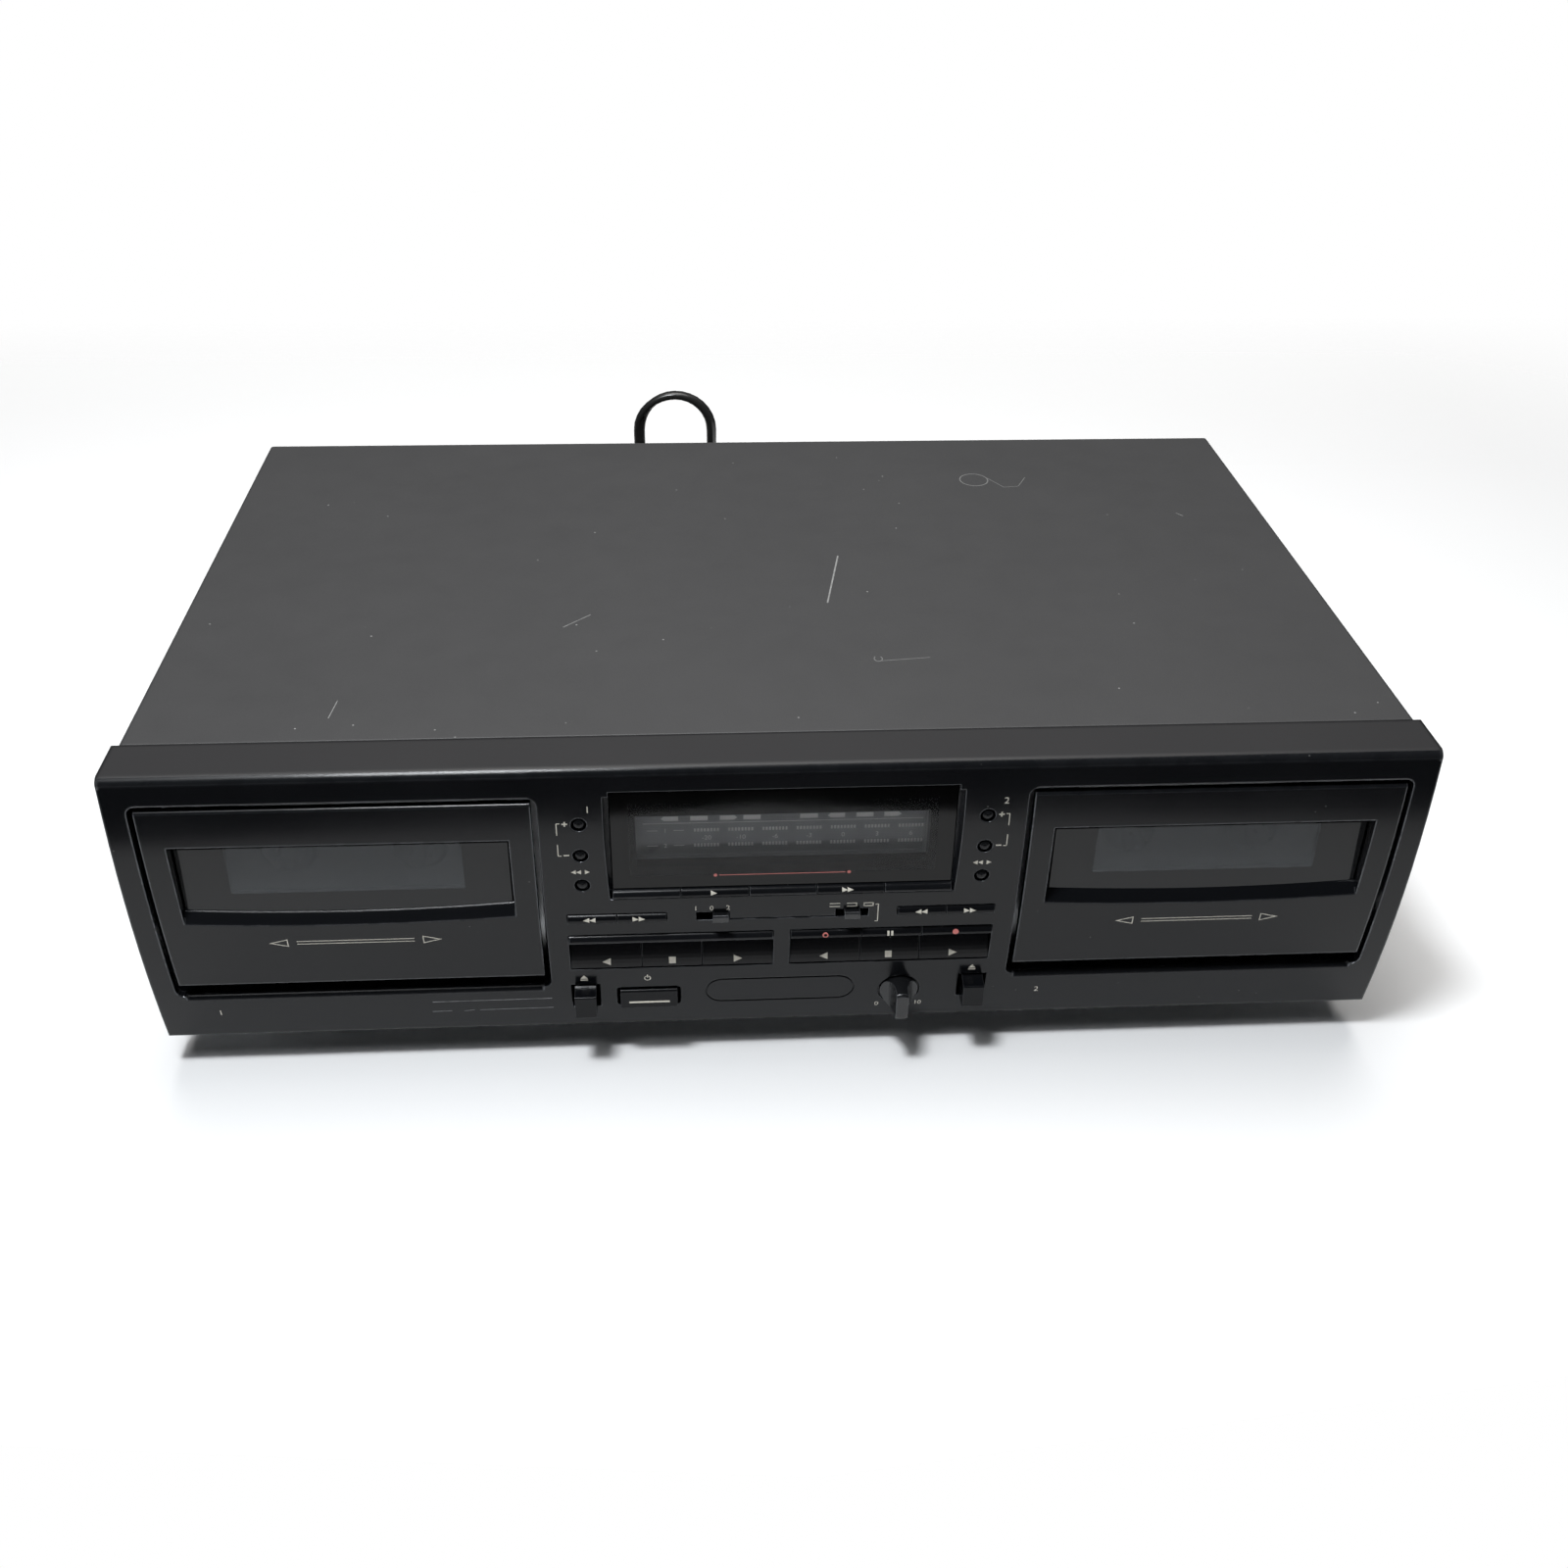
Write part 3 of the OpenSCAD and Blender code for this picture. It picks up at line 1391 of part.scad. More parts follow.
near = far - hank_step * hank_loops;
plug_at = [hank_x + 71, y_rear + 24, 7];
hank_route = concat(
    [[hank_x - 6, far, low]],
    [for (k = [0:hank_loops - 1]) for (i = [0:23]) loop_point(k, i / 24)],
    [
        [hank_x, near, low],
        [hank_x + 8, near, low],
        [hank_x + 17, near + 0.6, low],
        [hank_x + 29, near + 4.5, low + 0.8],
        [hank_x + 41, plug_at[1] - 5.5, low + 2.9],
        [hank_x + 53, plug_at[1] - 0.8, low + 4.7],
        [hank_x + 64, plug_at[1], plug_at[2]],
        plug_at
    ]
);

// Least gap between strands, taken over the flat cord's width
function strand_gap(a, b) =
    let (d = a - b)
    norm([d[0] / cord_t, d[1] / cord_w, d[2] / cord_t]) * cord_w - cord_w;
hank_gap = min([
    for (i = [0:len(hank_route) - 1])
        for (j = [i + 6:1:len(hank_route) - 1])
            strand_gap(hank_route[i], hank_route[j])
]);
echo(hank_gap = hank_gap);

module cord_hank() {
    n = len(hank_route);
    wide = [
        for (i = [0:n - 1])
            i < n - 8 ? [0, 1, 0]
            : i == n - 1 ? [0, 1, 0]
            : across(hank_route[i + 1] - hank_route[i - 1])
    ];
    color(rubber)
        tube(hank_route, wide, 6, [1, 0, 0], [1, 0, 0]);
}

// Flat two-pin plug, lying on its broad side
module plug() {
    color(rubber)
        translate(plug_at) {
            rotate([0, 90, 0])
                rotate_extrude()
                    polygon([[0, 0], [3.4, 0], [3.8, 4], [3.3, 4], [3.3, 5.5], [4.2, 5.5], [5.4, 16], [0, 16]]);
            translate([0, 0, -6.8])
                linear_extrude(13.6)
                    polygon([
                        [14, -6.5], [22, -8.5], [36, -17.5], [47, -17.5], [49, -16], [49, 16], [47, 17.5], [36, 17.5],
                        [22, 8.5], [14, 6.5]
                    ]);
            for (s = [-1, 1]) {
                pin_x([48, 65], s * 9.2, 0, 2);
                translate([65, s * 9.2, 0])
                    rotate([0, 90, 0])
                        cylinder(r1 = 2, r2 = 1, h = 2);
            }
        }
}

// Node to draw

bottom_chassis();
rear_panel();
top_cover();
front_panel();
feet();
case_screws();
display_lens();
display_tube();
circuit_boards();
transformer();
phono_jacks();
deck_frames();
drive_belts();
door(-1);  // d1_door
door_window(-1);  // d1_door_window
cassette_holder(-1);  // d1_cassette_holder
reel_hub(-1, -1);  // d1_supply_hub
reel_hub(-1, 1);  // d1_take_up_hub
capstan_flywheel(-1, -1);  // d1_left_flywheel
capstan_flywheel(-1, 1);  // d1_right_flywheel
head_carriage(-1);  // d1_head_carriage
door(1);  // d2_door
door_window(1);  // d2_door_window
cassette_holder(1);  // d2_cassette_holder
reel_hub(1, -1);  // d2_supply_hub
reel_hub(1, 1);  // d2_take_up_hub
capstan_flywheel(1, -1);  // d2_left_flywheel
capstan_flywheel(1, 1);  // d2_right_flywheel
head_carriage(1);  // d2_head_carriage
main_key(-1, 0);  // d1_play_reverse_key
main_key(-1, 1);  // d1_stop_key
main_key(-1, 2);  // d1_play_forward_key
seek_key(-1, 0);  // d1_rewind_key
seek_key(-1, 1);  // d1_fast_forward_key
round_button(-1, 1);  // d1_search_plus_button
round_button(-1, 0);  // d1_search_minus_button
round_button(-1, -1);  // d1_auto_play_button
eject_key(-1);  // d1_eject_key
main_key(1, 0);  // d2_play_reverse_key
main_key(1, 1);  // d2_stop_key
main_key(1, 2);  // d2_play_forward_key
seek_key(1, 0);  // d2_rewind_key
seek_key(1, 1);  // d2_fast_forward_key
round_button(1, 1);  // d2_search_plus_button
round_button(1, 0);  // d2_search_minus_button
round_button(1, -1);  // d2_auto_play_button
eject_key(1);  // d2_eject_key
ridge_key(0);  // record_mute_key
ridge_key(1);  // pause_key
ridge_key(2);  // record_key
copy_key(1);  // copy_normal_key
copy_key(3);  // copy_high_key
power_key();
slide_knob(-1, (slot_w - slide_w) / 2 - fit_gap);  // noise_switch_knob
slide_knob(1, 0);  // reverse_mode_knob
level_knob();  // record_level_knob
strain_relief();
power_cord();
cord_hank();
plug();
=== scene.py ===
# %% [markdown]
# # A double cassette deck
# Two tape decks share one case: a long sheet metal cover, a black moulded front that bulges
# gently, a door on each side and the keys and display between them. The solids come from the
# CAD model, so this lesson gives them finishes, prints the marks, and lays the mains lead.

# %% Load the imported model
import json
import math

import bpy
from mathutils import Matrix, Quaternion, Vector

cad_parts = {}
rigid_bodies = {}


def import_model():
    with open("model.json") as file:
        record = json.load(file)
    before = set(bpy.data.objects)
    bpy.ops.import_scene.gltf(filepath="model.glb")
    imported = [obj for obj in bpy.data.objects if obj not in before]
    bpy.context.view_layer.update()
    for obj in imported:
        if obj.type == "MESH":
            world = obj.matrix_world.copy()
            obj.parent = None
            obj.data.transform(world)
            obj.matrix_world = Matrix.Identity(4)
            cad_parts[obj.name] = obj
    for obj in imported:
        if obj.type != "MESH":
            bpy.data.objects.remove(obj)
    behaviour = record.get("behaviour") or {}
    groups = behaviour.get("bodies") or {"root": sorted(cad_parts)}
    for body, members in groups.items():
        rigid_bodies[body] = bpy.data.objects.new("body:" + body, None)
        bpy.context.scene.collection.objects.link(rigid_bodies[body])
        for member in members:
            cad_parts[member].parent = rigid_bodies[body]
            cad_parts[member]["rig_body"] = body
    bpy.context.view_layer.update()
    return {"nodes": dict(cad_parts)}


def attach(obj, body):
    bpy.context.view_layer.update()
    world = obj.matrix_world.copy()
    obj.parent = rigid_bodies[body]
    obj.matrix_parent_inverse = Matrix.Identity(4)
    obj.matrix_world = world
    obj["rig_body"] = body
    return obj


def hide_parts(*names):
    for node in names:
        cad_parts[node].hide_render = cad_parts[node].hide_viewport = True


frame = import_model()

nodes = frame["nodes"]

# %% [markdown]
# ## The camera
# The photograph was taken from above and a little left of the middle, at an arm's length. The
# corners of the case and of the panel give the place and the lens, so they are given as numbers.

# %% Camera
bpy.ops.object.select_all(action="DESELECT")
bpy.ops.object.camera_add(
    location=(-0.03287, -0.57453, 0.40318),
    rotation=[math.radians(a) for a in (57.0121, -0.8888, -3.6586)],
)
camera = bpy.context.object
camera.name = "photo_camera"
camera.data.lens = 38.47
camera.data.sensor_width = 36
bpy.context.scene.camera = camera
print("camera at", [round(c, 3) for c in camera.location], "lens", camera.data.lens)

# %% [markdown]
# ## Finishes as Python
# A finish is a node tree. Wiring it by hand is slow to read, so a small class wraps a socket and
# lets plain operators add the Math nodes, and one method adds any other node.


# %% Shader helpers
class Flow:
    """One socket of a finish, for use in Python sums."""

    def __init__(self, finish, socket):
        self.finish = finish
        self.socket = socket

    def sum(self, operation, first, second, clamp=False):
        settings = {"operation": operation, "use_clamp": clamp}
        return self.finish.node("ShaderNodeMath", settings, {0: first, 1: second})

    def __add__(self, other):
        return self.sum("ADD", self, other)

    def __radd__(self, other):
        return self.sum("ADD", other, self)

    def __sub__(self, other):
        return self.sum("SUBTRACT", self, other)

    def __rsub__(self, other):
        return self.sum("SUBTRACT", other, self)

    def __mul__(self, other):
        return self.sum("MULTIPLY", self, other)

    def __rmul__(self, other):
        return self.sum("MULTIPLY", other, self)

    def __gt__(self, other):
        return self.sum("GREATER_THAN", self, other)

    def __lt__(self, other):
        return self.sum("LESS_THAN", self, other)

    def __abs__(self):
        return self.sum("ABSOLUTE", self, 0.0)

    def most(self, other):
        return self.sum("MAXIMUM", self, other)

    def clamp(self):
        return self.sum("ADD", self, 0.0, clamp=True)


class Finish:
    """A material with one main shader, and the nodes that vary it."""

    def __init__(self, name, colour, roughness, metallic=0.0, **constants):
        self.material = bpy.data.materials.new(name)
        self.material.use_nodes = True
        self.tree = self.material.node_tree
        self.shader = self.tree.nodes["Principled BSDF"]
        self.set(**{"Base Color": (*colour, 1.0), "Roughness": roughness, "Metallic": metallic})
        self.set(**{key.replace("_", " "): value for key, value in constants.items()})
        coords = self.tree.nodes.new("ShaderNodeTexCoord")
        self.place = Flow(self, coords.outputs["Object"])

    def feed(self, socket, value):
        if isinstance(value, Flow):
            self.tree.links.new(value.socket, socket)
        else:
            socket.default_value = value

    def set(self, **sockets):
        for key, value in sockets.items():
            self.feed(self.shader.inputs[key], value)

    def node(self, kind, settings=None, sockets=None, out=0):
        made = self.tree.nodes.new(kind)
        for key, value in (settings or {}).items():
            setattr(made, key, value)
        for key, value in (sockets or {}).items():
            self.feed(made.inputs[key], value)
        return Flow(self, made.outputs[out])

    def axes(self):
        """Object coordinates in millimetres, one Flow each for x, y and z."""
        split = self.tree.nodes.new("ShaderNodeSeparateXYZ")
        self.feed(split.inputs[0], self.place)
        return [Flow(self, split.outputs[i]) * 1000.0 for i in range(3)]

    def noise(self, size, detail=2.0, stretch=(1, 1, 1)):
        """Noise from 0 to 1 with spots of about that size, in millimetres."""
        scale = [1000 / (size * s) for s in stretch]
        where = self.node("ShaderNodeMapping", None, {"Vector": self.place, "Scale": scale})
        return self.node("ShaderNodeTexNoise", None, {"Vector": where, "Scale": 1.0, "Detail": detail})

    def cells(self, size):
        """Distance from the nearest of points strewn about that far apart, in millimetres."""
        return self.node("ShaderNodeTexVoronoi", None, {"Vector": self.place, "Scale": 1000 / size})

    def mix(self, share, first, second):
        colours = [c if isinstance(c, Flow) else (*c, 1.0) for c in (first, second)]
        sockets = {0: share, 6: colours[0], 7: colours[1]}
        return self.node("ShaderNodeMix", {"data_type": "RGBA"}, sockets, out=2)

    def rounded(self, radius):
        """Normals as if every edge had that radius, in millimetres."""
        return self.node("ShaderNodeBevel", {"samples": 6}, {"Radius": radius * 0.001})

    def edges(self, soft):
        """Mask of the edges that rounded() softens."""
        flat = self.node("ShaderNodeNewGeometry", None, None, out=1)
        settings = {"operation": "DOT_PRODUCT"}
        along = self.node("ShaderNodeVectorMath", settings, {0: soft, 1: flat}, out=1)
        return ((1.0 - along) * 6.0).clamp()

    def bump(self, height, depth, normal=None):
        """Normals of a relief of that depth, in millimetres."""
        sockets = {"Strength": 1.0, "Distance": depth / 1000, "Height": height}
        if normal is not None:
            sockets["Normal"] = normal
        return self.node("ShaderNodeBump", None, sockets)


def dress(finish, *names):
    """Puts a finish on CAD pieces."""
    for name in names:
        nodes[name].data.materials.clear()
        nodes[name].data.materials.append(finish.material)
    print(finish.material.name, "on", len(names), "pieces")


def ending(tail):
    """Names of the CAD pieces that end alike."""
    return [name for name in nodes if name.endswith(tail)]


print("shader helpers are ready")


# %% [markdown]
# ## The mains lead
# A deck like this has about 1.7 m of flat twin lead. Most of it is folded into a hank behind the
# case with a tie round its waist, and one loop stands taller than the rest. The lead could be a
# bevelled curve, but a flat lead twists on a curve, so rings of points are laid along the route.

# %% Route of the lead, in millimetres
REAR_EDGE = 131.9097
RELIEF = Vector((-85.0, 156.4097, 39.5))
LOW, FAR, HANK_X, FOLD = 1.9, REAR_EDGE + 42, -31.4, 16.4
HANK_TOP, ARCH_TOP, ARCH_LOOP, STEP, LOOPS, WAIST = 104.0, 138.0, 3, 5.8, 6, 9.0
TIE_Z = LOW + (HANK_TOP - LOW) / 2
NEAR = FAR - STEP * LOOPS
PLUG = Vector((HANK_X + 71, REAR_EDGE + 24, 7.0))


def flowing(marks, steps):
    """Smooth curve through the marks, with straight ends."""
    points = [marks[0]]
    for a, b, c, d in zip(marks, marks[1:], marks[2:], marks[3:]):
        for j in range(steps):
            t = j / steps
            points.append(
                0.5 * (2 * b + (c - a) * t + (2 * a - 5 * b + 4 * c - d) * t * t
                       + (3 * b - a - 3 * c + d) * t * t * t)
            )
    return points + [marks[-2], marks[-1]]


def loop_half(z):
    near_tie = max(0.0, math.cos(math.pi * min(1.0, abs(z - TIE_Z) / 68)))
    return FOLD - (FOLD - WAIST) * near_tie**2


def loop_point(k, u):
    """Point u of the way round loop k of the hank, from the middle of its lower fold."""
    top = (ARCH_TOP if k == ARCH_LOOP else HANK_TOP) - FOLD
    foot = LOW + FOLD
    y = FAR - STEP * (k if u < 0.875 else k + 1)
    if u < 0.125 or u >= 0.875:
        a = 4 * math.pi * (u if u < 0.125 else u - 1) - math.pi / 2
        return Vector((HANK_X + FOLD * math.cos(a), y, foot + FOLD * math.sin(a)))
    if u < 0.375:
        z = foot + (top - foot) * (u - 0.125) / 0.25
        return Vector((HANK_X + loop_half(z), y, z))
    if u < 0.625:
        a = 4 * math.pi * (u - 0.375)
        return Vector((HANK_X + FOLD * math.cos(a), y, top + FOLD * math.sin(a)))
    z = top - (top - foot) * (u - 0.625) / 0.25
    share = min(1.0, max(0.0, (HANK_TOP - FOLD - z) / (HANK_TOP - LOW - 2 * FOLD)))
    return Vector((HANK_X - loop_half(z), y - STEP * share, z))


free_marks = [
    RELIEF,
    RELIEF + Vector((0, 6, 0)),
    RELIEF + Vector((0.5, 17, -2)),
    RELIEF + Vector((4, 28, -11)),
    RELIEF + Vector((11, 32, -24)),
    Vector((RELIEF.x + 21, RELIEF.y + 28.5, LOW + 4.8)),
    Vector((RELIEF.x + 32, RELIEF.y + 21.5, LOW + 0.7)),
    Vector((HANK_X - 12, FAR, LOW)),
    Vector((HANK_X - 6, FAR, LOW)),
]
tail_marks = [
    Vector((HANK_X, NEAR, LOW)),
    Vector((HANK_X + 8, NEAR, LOW)),
    Vector((HANK_X + 17, NEAR + 0.6, LOW)),
    Vector((HANK_X + 29, NEAR + 4.5, LOW + 0.8)),
    Vector((HANK_X + 41, PLUG.y - 5.5, LOW + 2.9)),
    Vector((HANK_X + 53, PLUG.y - 0.8, LOW + 4.7)),
    Vector((HANK_X + 64, PLUG.y, PLUG.z)),
    PLUG,
]
TURN = 64
free_run = flowing(free_marks, 8)
hank_run = [loop_point(k, i / TURN) for k in range(LOOPS) for i in range(TURN)]
route = free_run + hank_run + flowing(tail_marks, 6)
lead_length = sum((b - a).length for a, b in zip(route, route[1:])) / 1000
print("lead:", len(route), "points,", round(lead_length, 3), "m")

# %% Finish of the lead
lead_pvc = Finish("lead_pvc", (0.012, 0.012, 0.012), 0.3)
grain = lead_pvc.noise(0.5, 3.0)
lead_pvc.set(
    **{
        "Base Color": lead_pvc.mix(lead_pvc.noise(30.0), (0.009, 0.009, 0.009), (0.02, 0.02, 0.019)),
        "Roughness": 0.22 + 0.16 * lead_pvc.noise(6.0),
        "Normal": lead_pvc.bump(grain, 0.01),
    }
)
print("finish of the lead:", lead_pvc.material.name)

# %% Lay the flat twin lead along its route
LOBE, SPREAD = 1.7, 0.9
edge = math.acos(-SPREAD / LOBE)
half_section = [
    (SPREAD + LOBE * math.cos(a), LOBE * math.sin(a)) for a in [edge * (i / 4 - 1) for i in range(9)]
]
section = half_section + [(-x, -z) for x, z in half_section[1:-1]]


def lie(point):
    """Turn of the flat lead about its own run: the tall loop shows its broad side on the left."""
    if point.z < HANK_TOP + 1:
        return 0.0
    share = min(1.0, (point.z - HANK_TOP - 1) / 12) * min(1.0, (ARCH_TOP - point.z) / 14)
    return math.radians(75 if point.x < HANK_X else -40) * share


rings = []
for i, point in enumerate(route):
    ahead = (route[min(i + 1, len(route) - 1)] - route[max(i - 1, 0)]).normalized()
    level = Vector((-ahead.y, ahead.x, 0))
    in_hank = len(free_run) - 2 <= i < len(free_run) + len(hank_run) + 2
    wide = Vector((0, 1, 0)) if in_hank or level.length < 0.02 else level.normalized()
    if in_hank:
        wide = Quaternion(ahead, lie(point)) @ wide
    high = ahead.cross(wide).normalized()
    rings.append([(point + wide * a + high * b) / 1000 for a, b in section])
around = len(section)
faces = []
for i in range(len(rings) - 1):
    here, there = i * around, (i + 1) * around
    for j in range(around):
        k = (j + 1) % around
        faces.append((here + j, here + k, there + k, there + j))
faces.append(tuple(range(around - 1, -1, -1)))
faces.append(tuple(range((len(rings) - 1) * around, len(rings) * around)))
lead_mesh = bpy.data.meshes.new("mains_lead")
lead_mesh.from_pydata([p for ring in rings for p in ring], [], faces)
mains_lead = bpy.data.objects.new("mains_lead", lead_mesh)
bpy.context.scene.collection.objects.link(mains_lead)
lead_mesh.materials.append(lead_pvc.material)
bpy.ops.object.select_all(action="DESELECT")
mains_lead.select_set(True)
bpy.context.view_layer.objects.active = mains_lead
bpy.ops.object.mode_set(mode="EDIT")
bpy.ops.mesh.select_all(action="SELECT")
bpy.ops.mesh.normals_make_consistent(inside=False)
bpy.ops.object.mode_set(mode="OBJECT")
bpy.ops.object.shade_smooth_by_angle(angle=math.radians(50))
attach(mains_lead, "case")
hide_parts("power_cord", "cord_hank")
print("lead faces:", len(lead_mesh.polygons))

# %% [markdown]
# ## The tie
# A band of soft plastic holds the hank at its waist. It starts as a flat plane whose corners are
# rounded, which is then drawn up into a sleeve, thickened and given round rims.

# %% Tie round the hank
HALF_X, HALF_Y, TIE_H = WAIST + 2.2, (FAR - NEAR) / 2 + 3.1, 9.0
bpy.ops.object.select_all(action="DESELECT")
bpy.ops.mesh.primitive_plane_add(
    size=1, location=(HANK_X / 1000, (FAR + NEAR) / 2000, (TIE_Z - TIE_H / 2) / 1000)
)
hank_tie = bpy.context.object
hank_tie.name = "hank_tie"
hank_tie.scale = (2 * HALF_X / 1000, 2 * HALF_Y / 1000, 1)
bpy.ops.object.transform_apply(location=True, rotation=True, scale=True)
bpy.ops.object.mode_set(mode="EDIT")
bpy.ops.mesh.select_all(action="SELECT")
bpy.ops.mesh.bevel(affect="VERTICES", offset=0.0048, segments=7)
bpy.ops.mesh.extrude_region_move(TRANSFORM_OT_translate={"value": (0, 0, TIE_H / 1000)})
bpy.ops.mesh.select_mode(type="FACE")
bpy.ops.mesh.select_all(action="DESELECT")
bpy.ops.object.mode_set(mode="OBJECT")
for face in hank_tie.data.polygons:
    face.select = abs(face.normal.z) > 0.9
bpy.ops.object.mode_set(mode="EDIT")
bpy.ops.mesh.delete(type="FACE")
bpy.ops.mesh.select_all(action="SELECT")
bpy.ops.mesh.normals_make_consistent(inside=False)
bpy.ops.object.mode_set(mode="OBJECT")
for kind, settings in (
    ("SOLIDIFY", {"thickness": 0.001, "offset": 1}),
    ("BEVEL", {"width": 0.0004, "segments": 3}),
):
    modifier = hank_tie.modifiers.new(kind.lower(), kind)
    for key, value in settings.items():
        setattr(modifier, key, value)
    bpy.ops.object.modifier_apply(modifier=modifier.name)
bpy.ops.object.shade_smooth_by_angle(angle=math.radians(40))
hank_tie.data.materials.append(lead_pvc.material)
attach(hank_tie, "case")
[p / 1000 for p in route]
print("tie faces:", len(hank_tie.data.polygons))

# %% [markdown]
# ## Black mouldings
# The front panel and the doors are one glossy black moulding with a trace of texture. Most of what
# the eye sees is the pale floor mirrored in it, so the colour stays near black and the roughness
# does the work. Rounded normals round every edge, as a real mould radius does, and a thin painted
# highlight of lighter colour and metal runs along every edge, stronger and rougher where it is worn.


# %% Finish of the doors, the keys and the knobs
def moulding(
    name, colour, low_gloss, high_gloss, radius, texture, painted_edge_shine=0.5, mirror=0.25, fuller=None, calm=None
):
    """Glossy plastic with a painted highlight along its edges: fuller adds to their radius by place,
    and calm hides them.
    """
    finish = Finish(name, colour, high_gloss, Specular_IOR_Level=mirror)
    soft = finish.rounded(radius if fuller is None else radius + fuller(*finish.axes()))
    edge = finish.edges(soft)
    if calm:
        edge = edge * (1.0 - calm(*finish.axes()))
    # Worn patches of the edges: rougher, and brighter in the painted highlight.
    wear_and_highlight = edge * (finish.noise(9.0, 4.0) > 0.48)
    cloud = finish.noise(45.0, 3.0)
    dust = (finish.cells(7.0) < 0.035) * (finish.noise(60.0) > 0.52)
    tint = finish.mix(cloud, colour, [c * 1.25 for c in colour])
    # Painted highlight: the colour turns light grey along the edges, most in the worn patches.
    tint = finish.mix(painted_edge_shine * (0.8 * edge + 0.4 * wear_and_highlight), tint, (0.2, 0.207, 0.22))
    tint = finish.mix(0.35 * dust, tint, (0.3, 0.3, 0.29))
    wiped = finish.noise(0.8, 2.0, (45, 1, 1)) * cloud
    gloss = low_gloss + (high_gloss - low_gloss) * cloud + 0.1 * wear_and_highlight + 0.08 * wiped
    finish.set(
        **{
            "Base Color": tint,
            "Roughness": gloss,
            # The painted highlight also makes the edges metal, so they mirror the lamps.
            "Metallic": painted_edge_shine * edge,
            "Normal": finish.bump(finish.noise(0.35, 2.0), texture, soft),
        }
    )
    return finish


RECESS_Y, RECESS_FOOT = -133.6, 64.0


def recess_depth(x, y, z):
    """Mask of the inner edges of a door's recess, which lie in the shade."""
    return (y > RECESS_Y) * (z > RECESS_FOOT)


GLOSS_BLACK = (0.004, 0.0044, 0.0054)
door_black = moulding("door_black", GLOSS_BLACK, 0.1, 0.2, 0.8, 0.003, 0.7, calm=recess_depth)
key_black = moulding("key_black", (0.0032, 0.0035, 0.0043), 0.14, 0.24, 0.3, 0.003, 0.3, 0.2)
button_black = moulding("button_black", (0.0045, 0.0048, 0.0056), 0.1, 0.18, 0.5, 0.003, 0.6, 0.2)
knob_black = moulding("knob_black", (0.006, 0.0063, 0.007), 0.16, 0.26, 0.5, 0.005, 0.6, 0.55)
dress(door_black, "d1_door", "d2_door")
dress(key_black, *ending("_key"))
dress(button_black, *ending("_button"))
dress(knob_black, "record_level_knob", "noise_switch_knob", "reverse_mode_knob")

# %% [markdown]
# ## The front panel
# The panel is the same moulding, but its flat top is etched, and its colour there is painted lighter
# as the light the top catches from above, to match the cover. Cloths and sleeves have left a few thin
# lines below the left door. A thin line is a strip where two sums on the coordinates are both small,
# so it needs no picture. The seat behind the lens is dull black.


# %% Thin lines, and the finish of the panel
def scratch(across, along, start, end, width):
    """Mask of a thin line between two points, in millimetres."""
    run = Vector(end) - Vector(start)
    step = run.normalized()
    off = (across - start[0]) * step.y - (along - start[1]) * step.x
    far = (across - start[0]) * step.x + (along - start[1]) * step.y
    return (abs(off) < width) * (far > 0.0) * (far < run.length)


UPPER_EDGE, FLAT_TOP, INNER_SIDE = 121.5, 124.7, 80.0
BADGE_HALF_X, BADGE_HALF_Z, BADGE_Z = 27.0, 7.5, 29.7


def fuller_edges(x, y, z):
    """The upper edge and the edges round the doors are rounder than those of the key pockets."""
    return 1.2 * (z > UPPER_EDGE) + 0.5 * (abs(x) > INNER_SIDE)


def badge_place(x, y, z):
    """Mask of the engraved outline, whose groove stays dark."""
    return (abs(x) < BADGE_HALF_X) * (abs(z - BADGE_Z) < BADGE_HALF_Z)


panel_black = moulding(
    "panel_black", GLOSS_BLACK, 0.1, 0.2, 0.45, 0.003, 0.7, fuller=fuller_edges, calm=badge_place
)
panel_x, panel_y, panel_z = panel_black.axes()
rubbed = scratch(panel_x, panel_z, (-118.6, 27.8), (-78.2, 28.0), 0.12)
for start, end in (
    ((-119.2, 22.7), (-112.6, 22.8)),
    ((-108.5, 22.6), (-104.9, 23.0)),
    ((-103.1, 22.9), (-78.0, 23.1)),
):
    rubbed = rubbed.most(scratch(panel_x, panel_z, start, end, 0.1))
rubbed = rubbed * panel_black.noise(4.0, 2.0)

# %% Etched top with painted light, and dull seat of the panel
DULL_BLACK = (0.0005, 0.0005, 0.0005)
SEAT_HALF_X, SEAT_HALF_Z, SEAT_Z, SEAT_Y = 56.0, 18.8, 96.2, -132.8
# The flat top is etched, so rougher, and its colour is painted lighter as the light it catches from
# above.
etched_top_and_painted_light = panel_z > FLAT_TOP
behind_lens = (abs(panel_x) < SEAT_HALF_X) * (abs(panel_z - SEAT_Z) < SEAT_HALF_Z) * (panel_y > SEAT_Y)


def so_far(finish, key):
    """What already feeds a socket of the main shader."""
    return Flow(finish, finish.shader.inputs[key].links[0].from_socket)


panel_tint = so_far(panel_black, "Base Color")
for share, colour in (
    # Painted light on the flat top, wear lines, and the dull seat behind the lens.
    (etched_top_and_painted_light, (0.021, 0.0205, 0.0212)),
    (rubbed, (0.5, 0.51, 0.52)),
    (behind_lens, DULL_BLACK),
):
    panel_tint = panel_black.mix(share, panel_tint, colour)
panel_black.set(
    **{
        "Base Color": panel_tint,
        "Metallic": so_far(panel_black, "Metallic").most(behind_lens),
        "Roughness": so_far(panel_black, "Roughness") + 0.26 * etched_top_and_painted_light + 0.2 * rubbed,
    }
)
dress(panel_black, "front_panel")

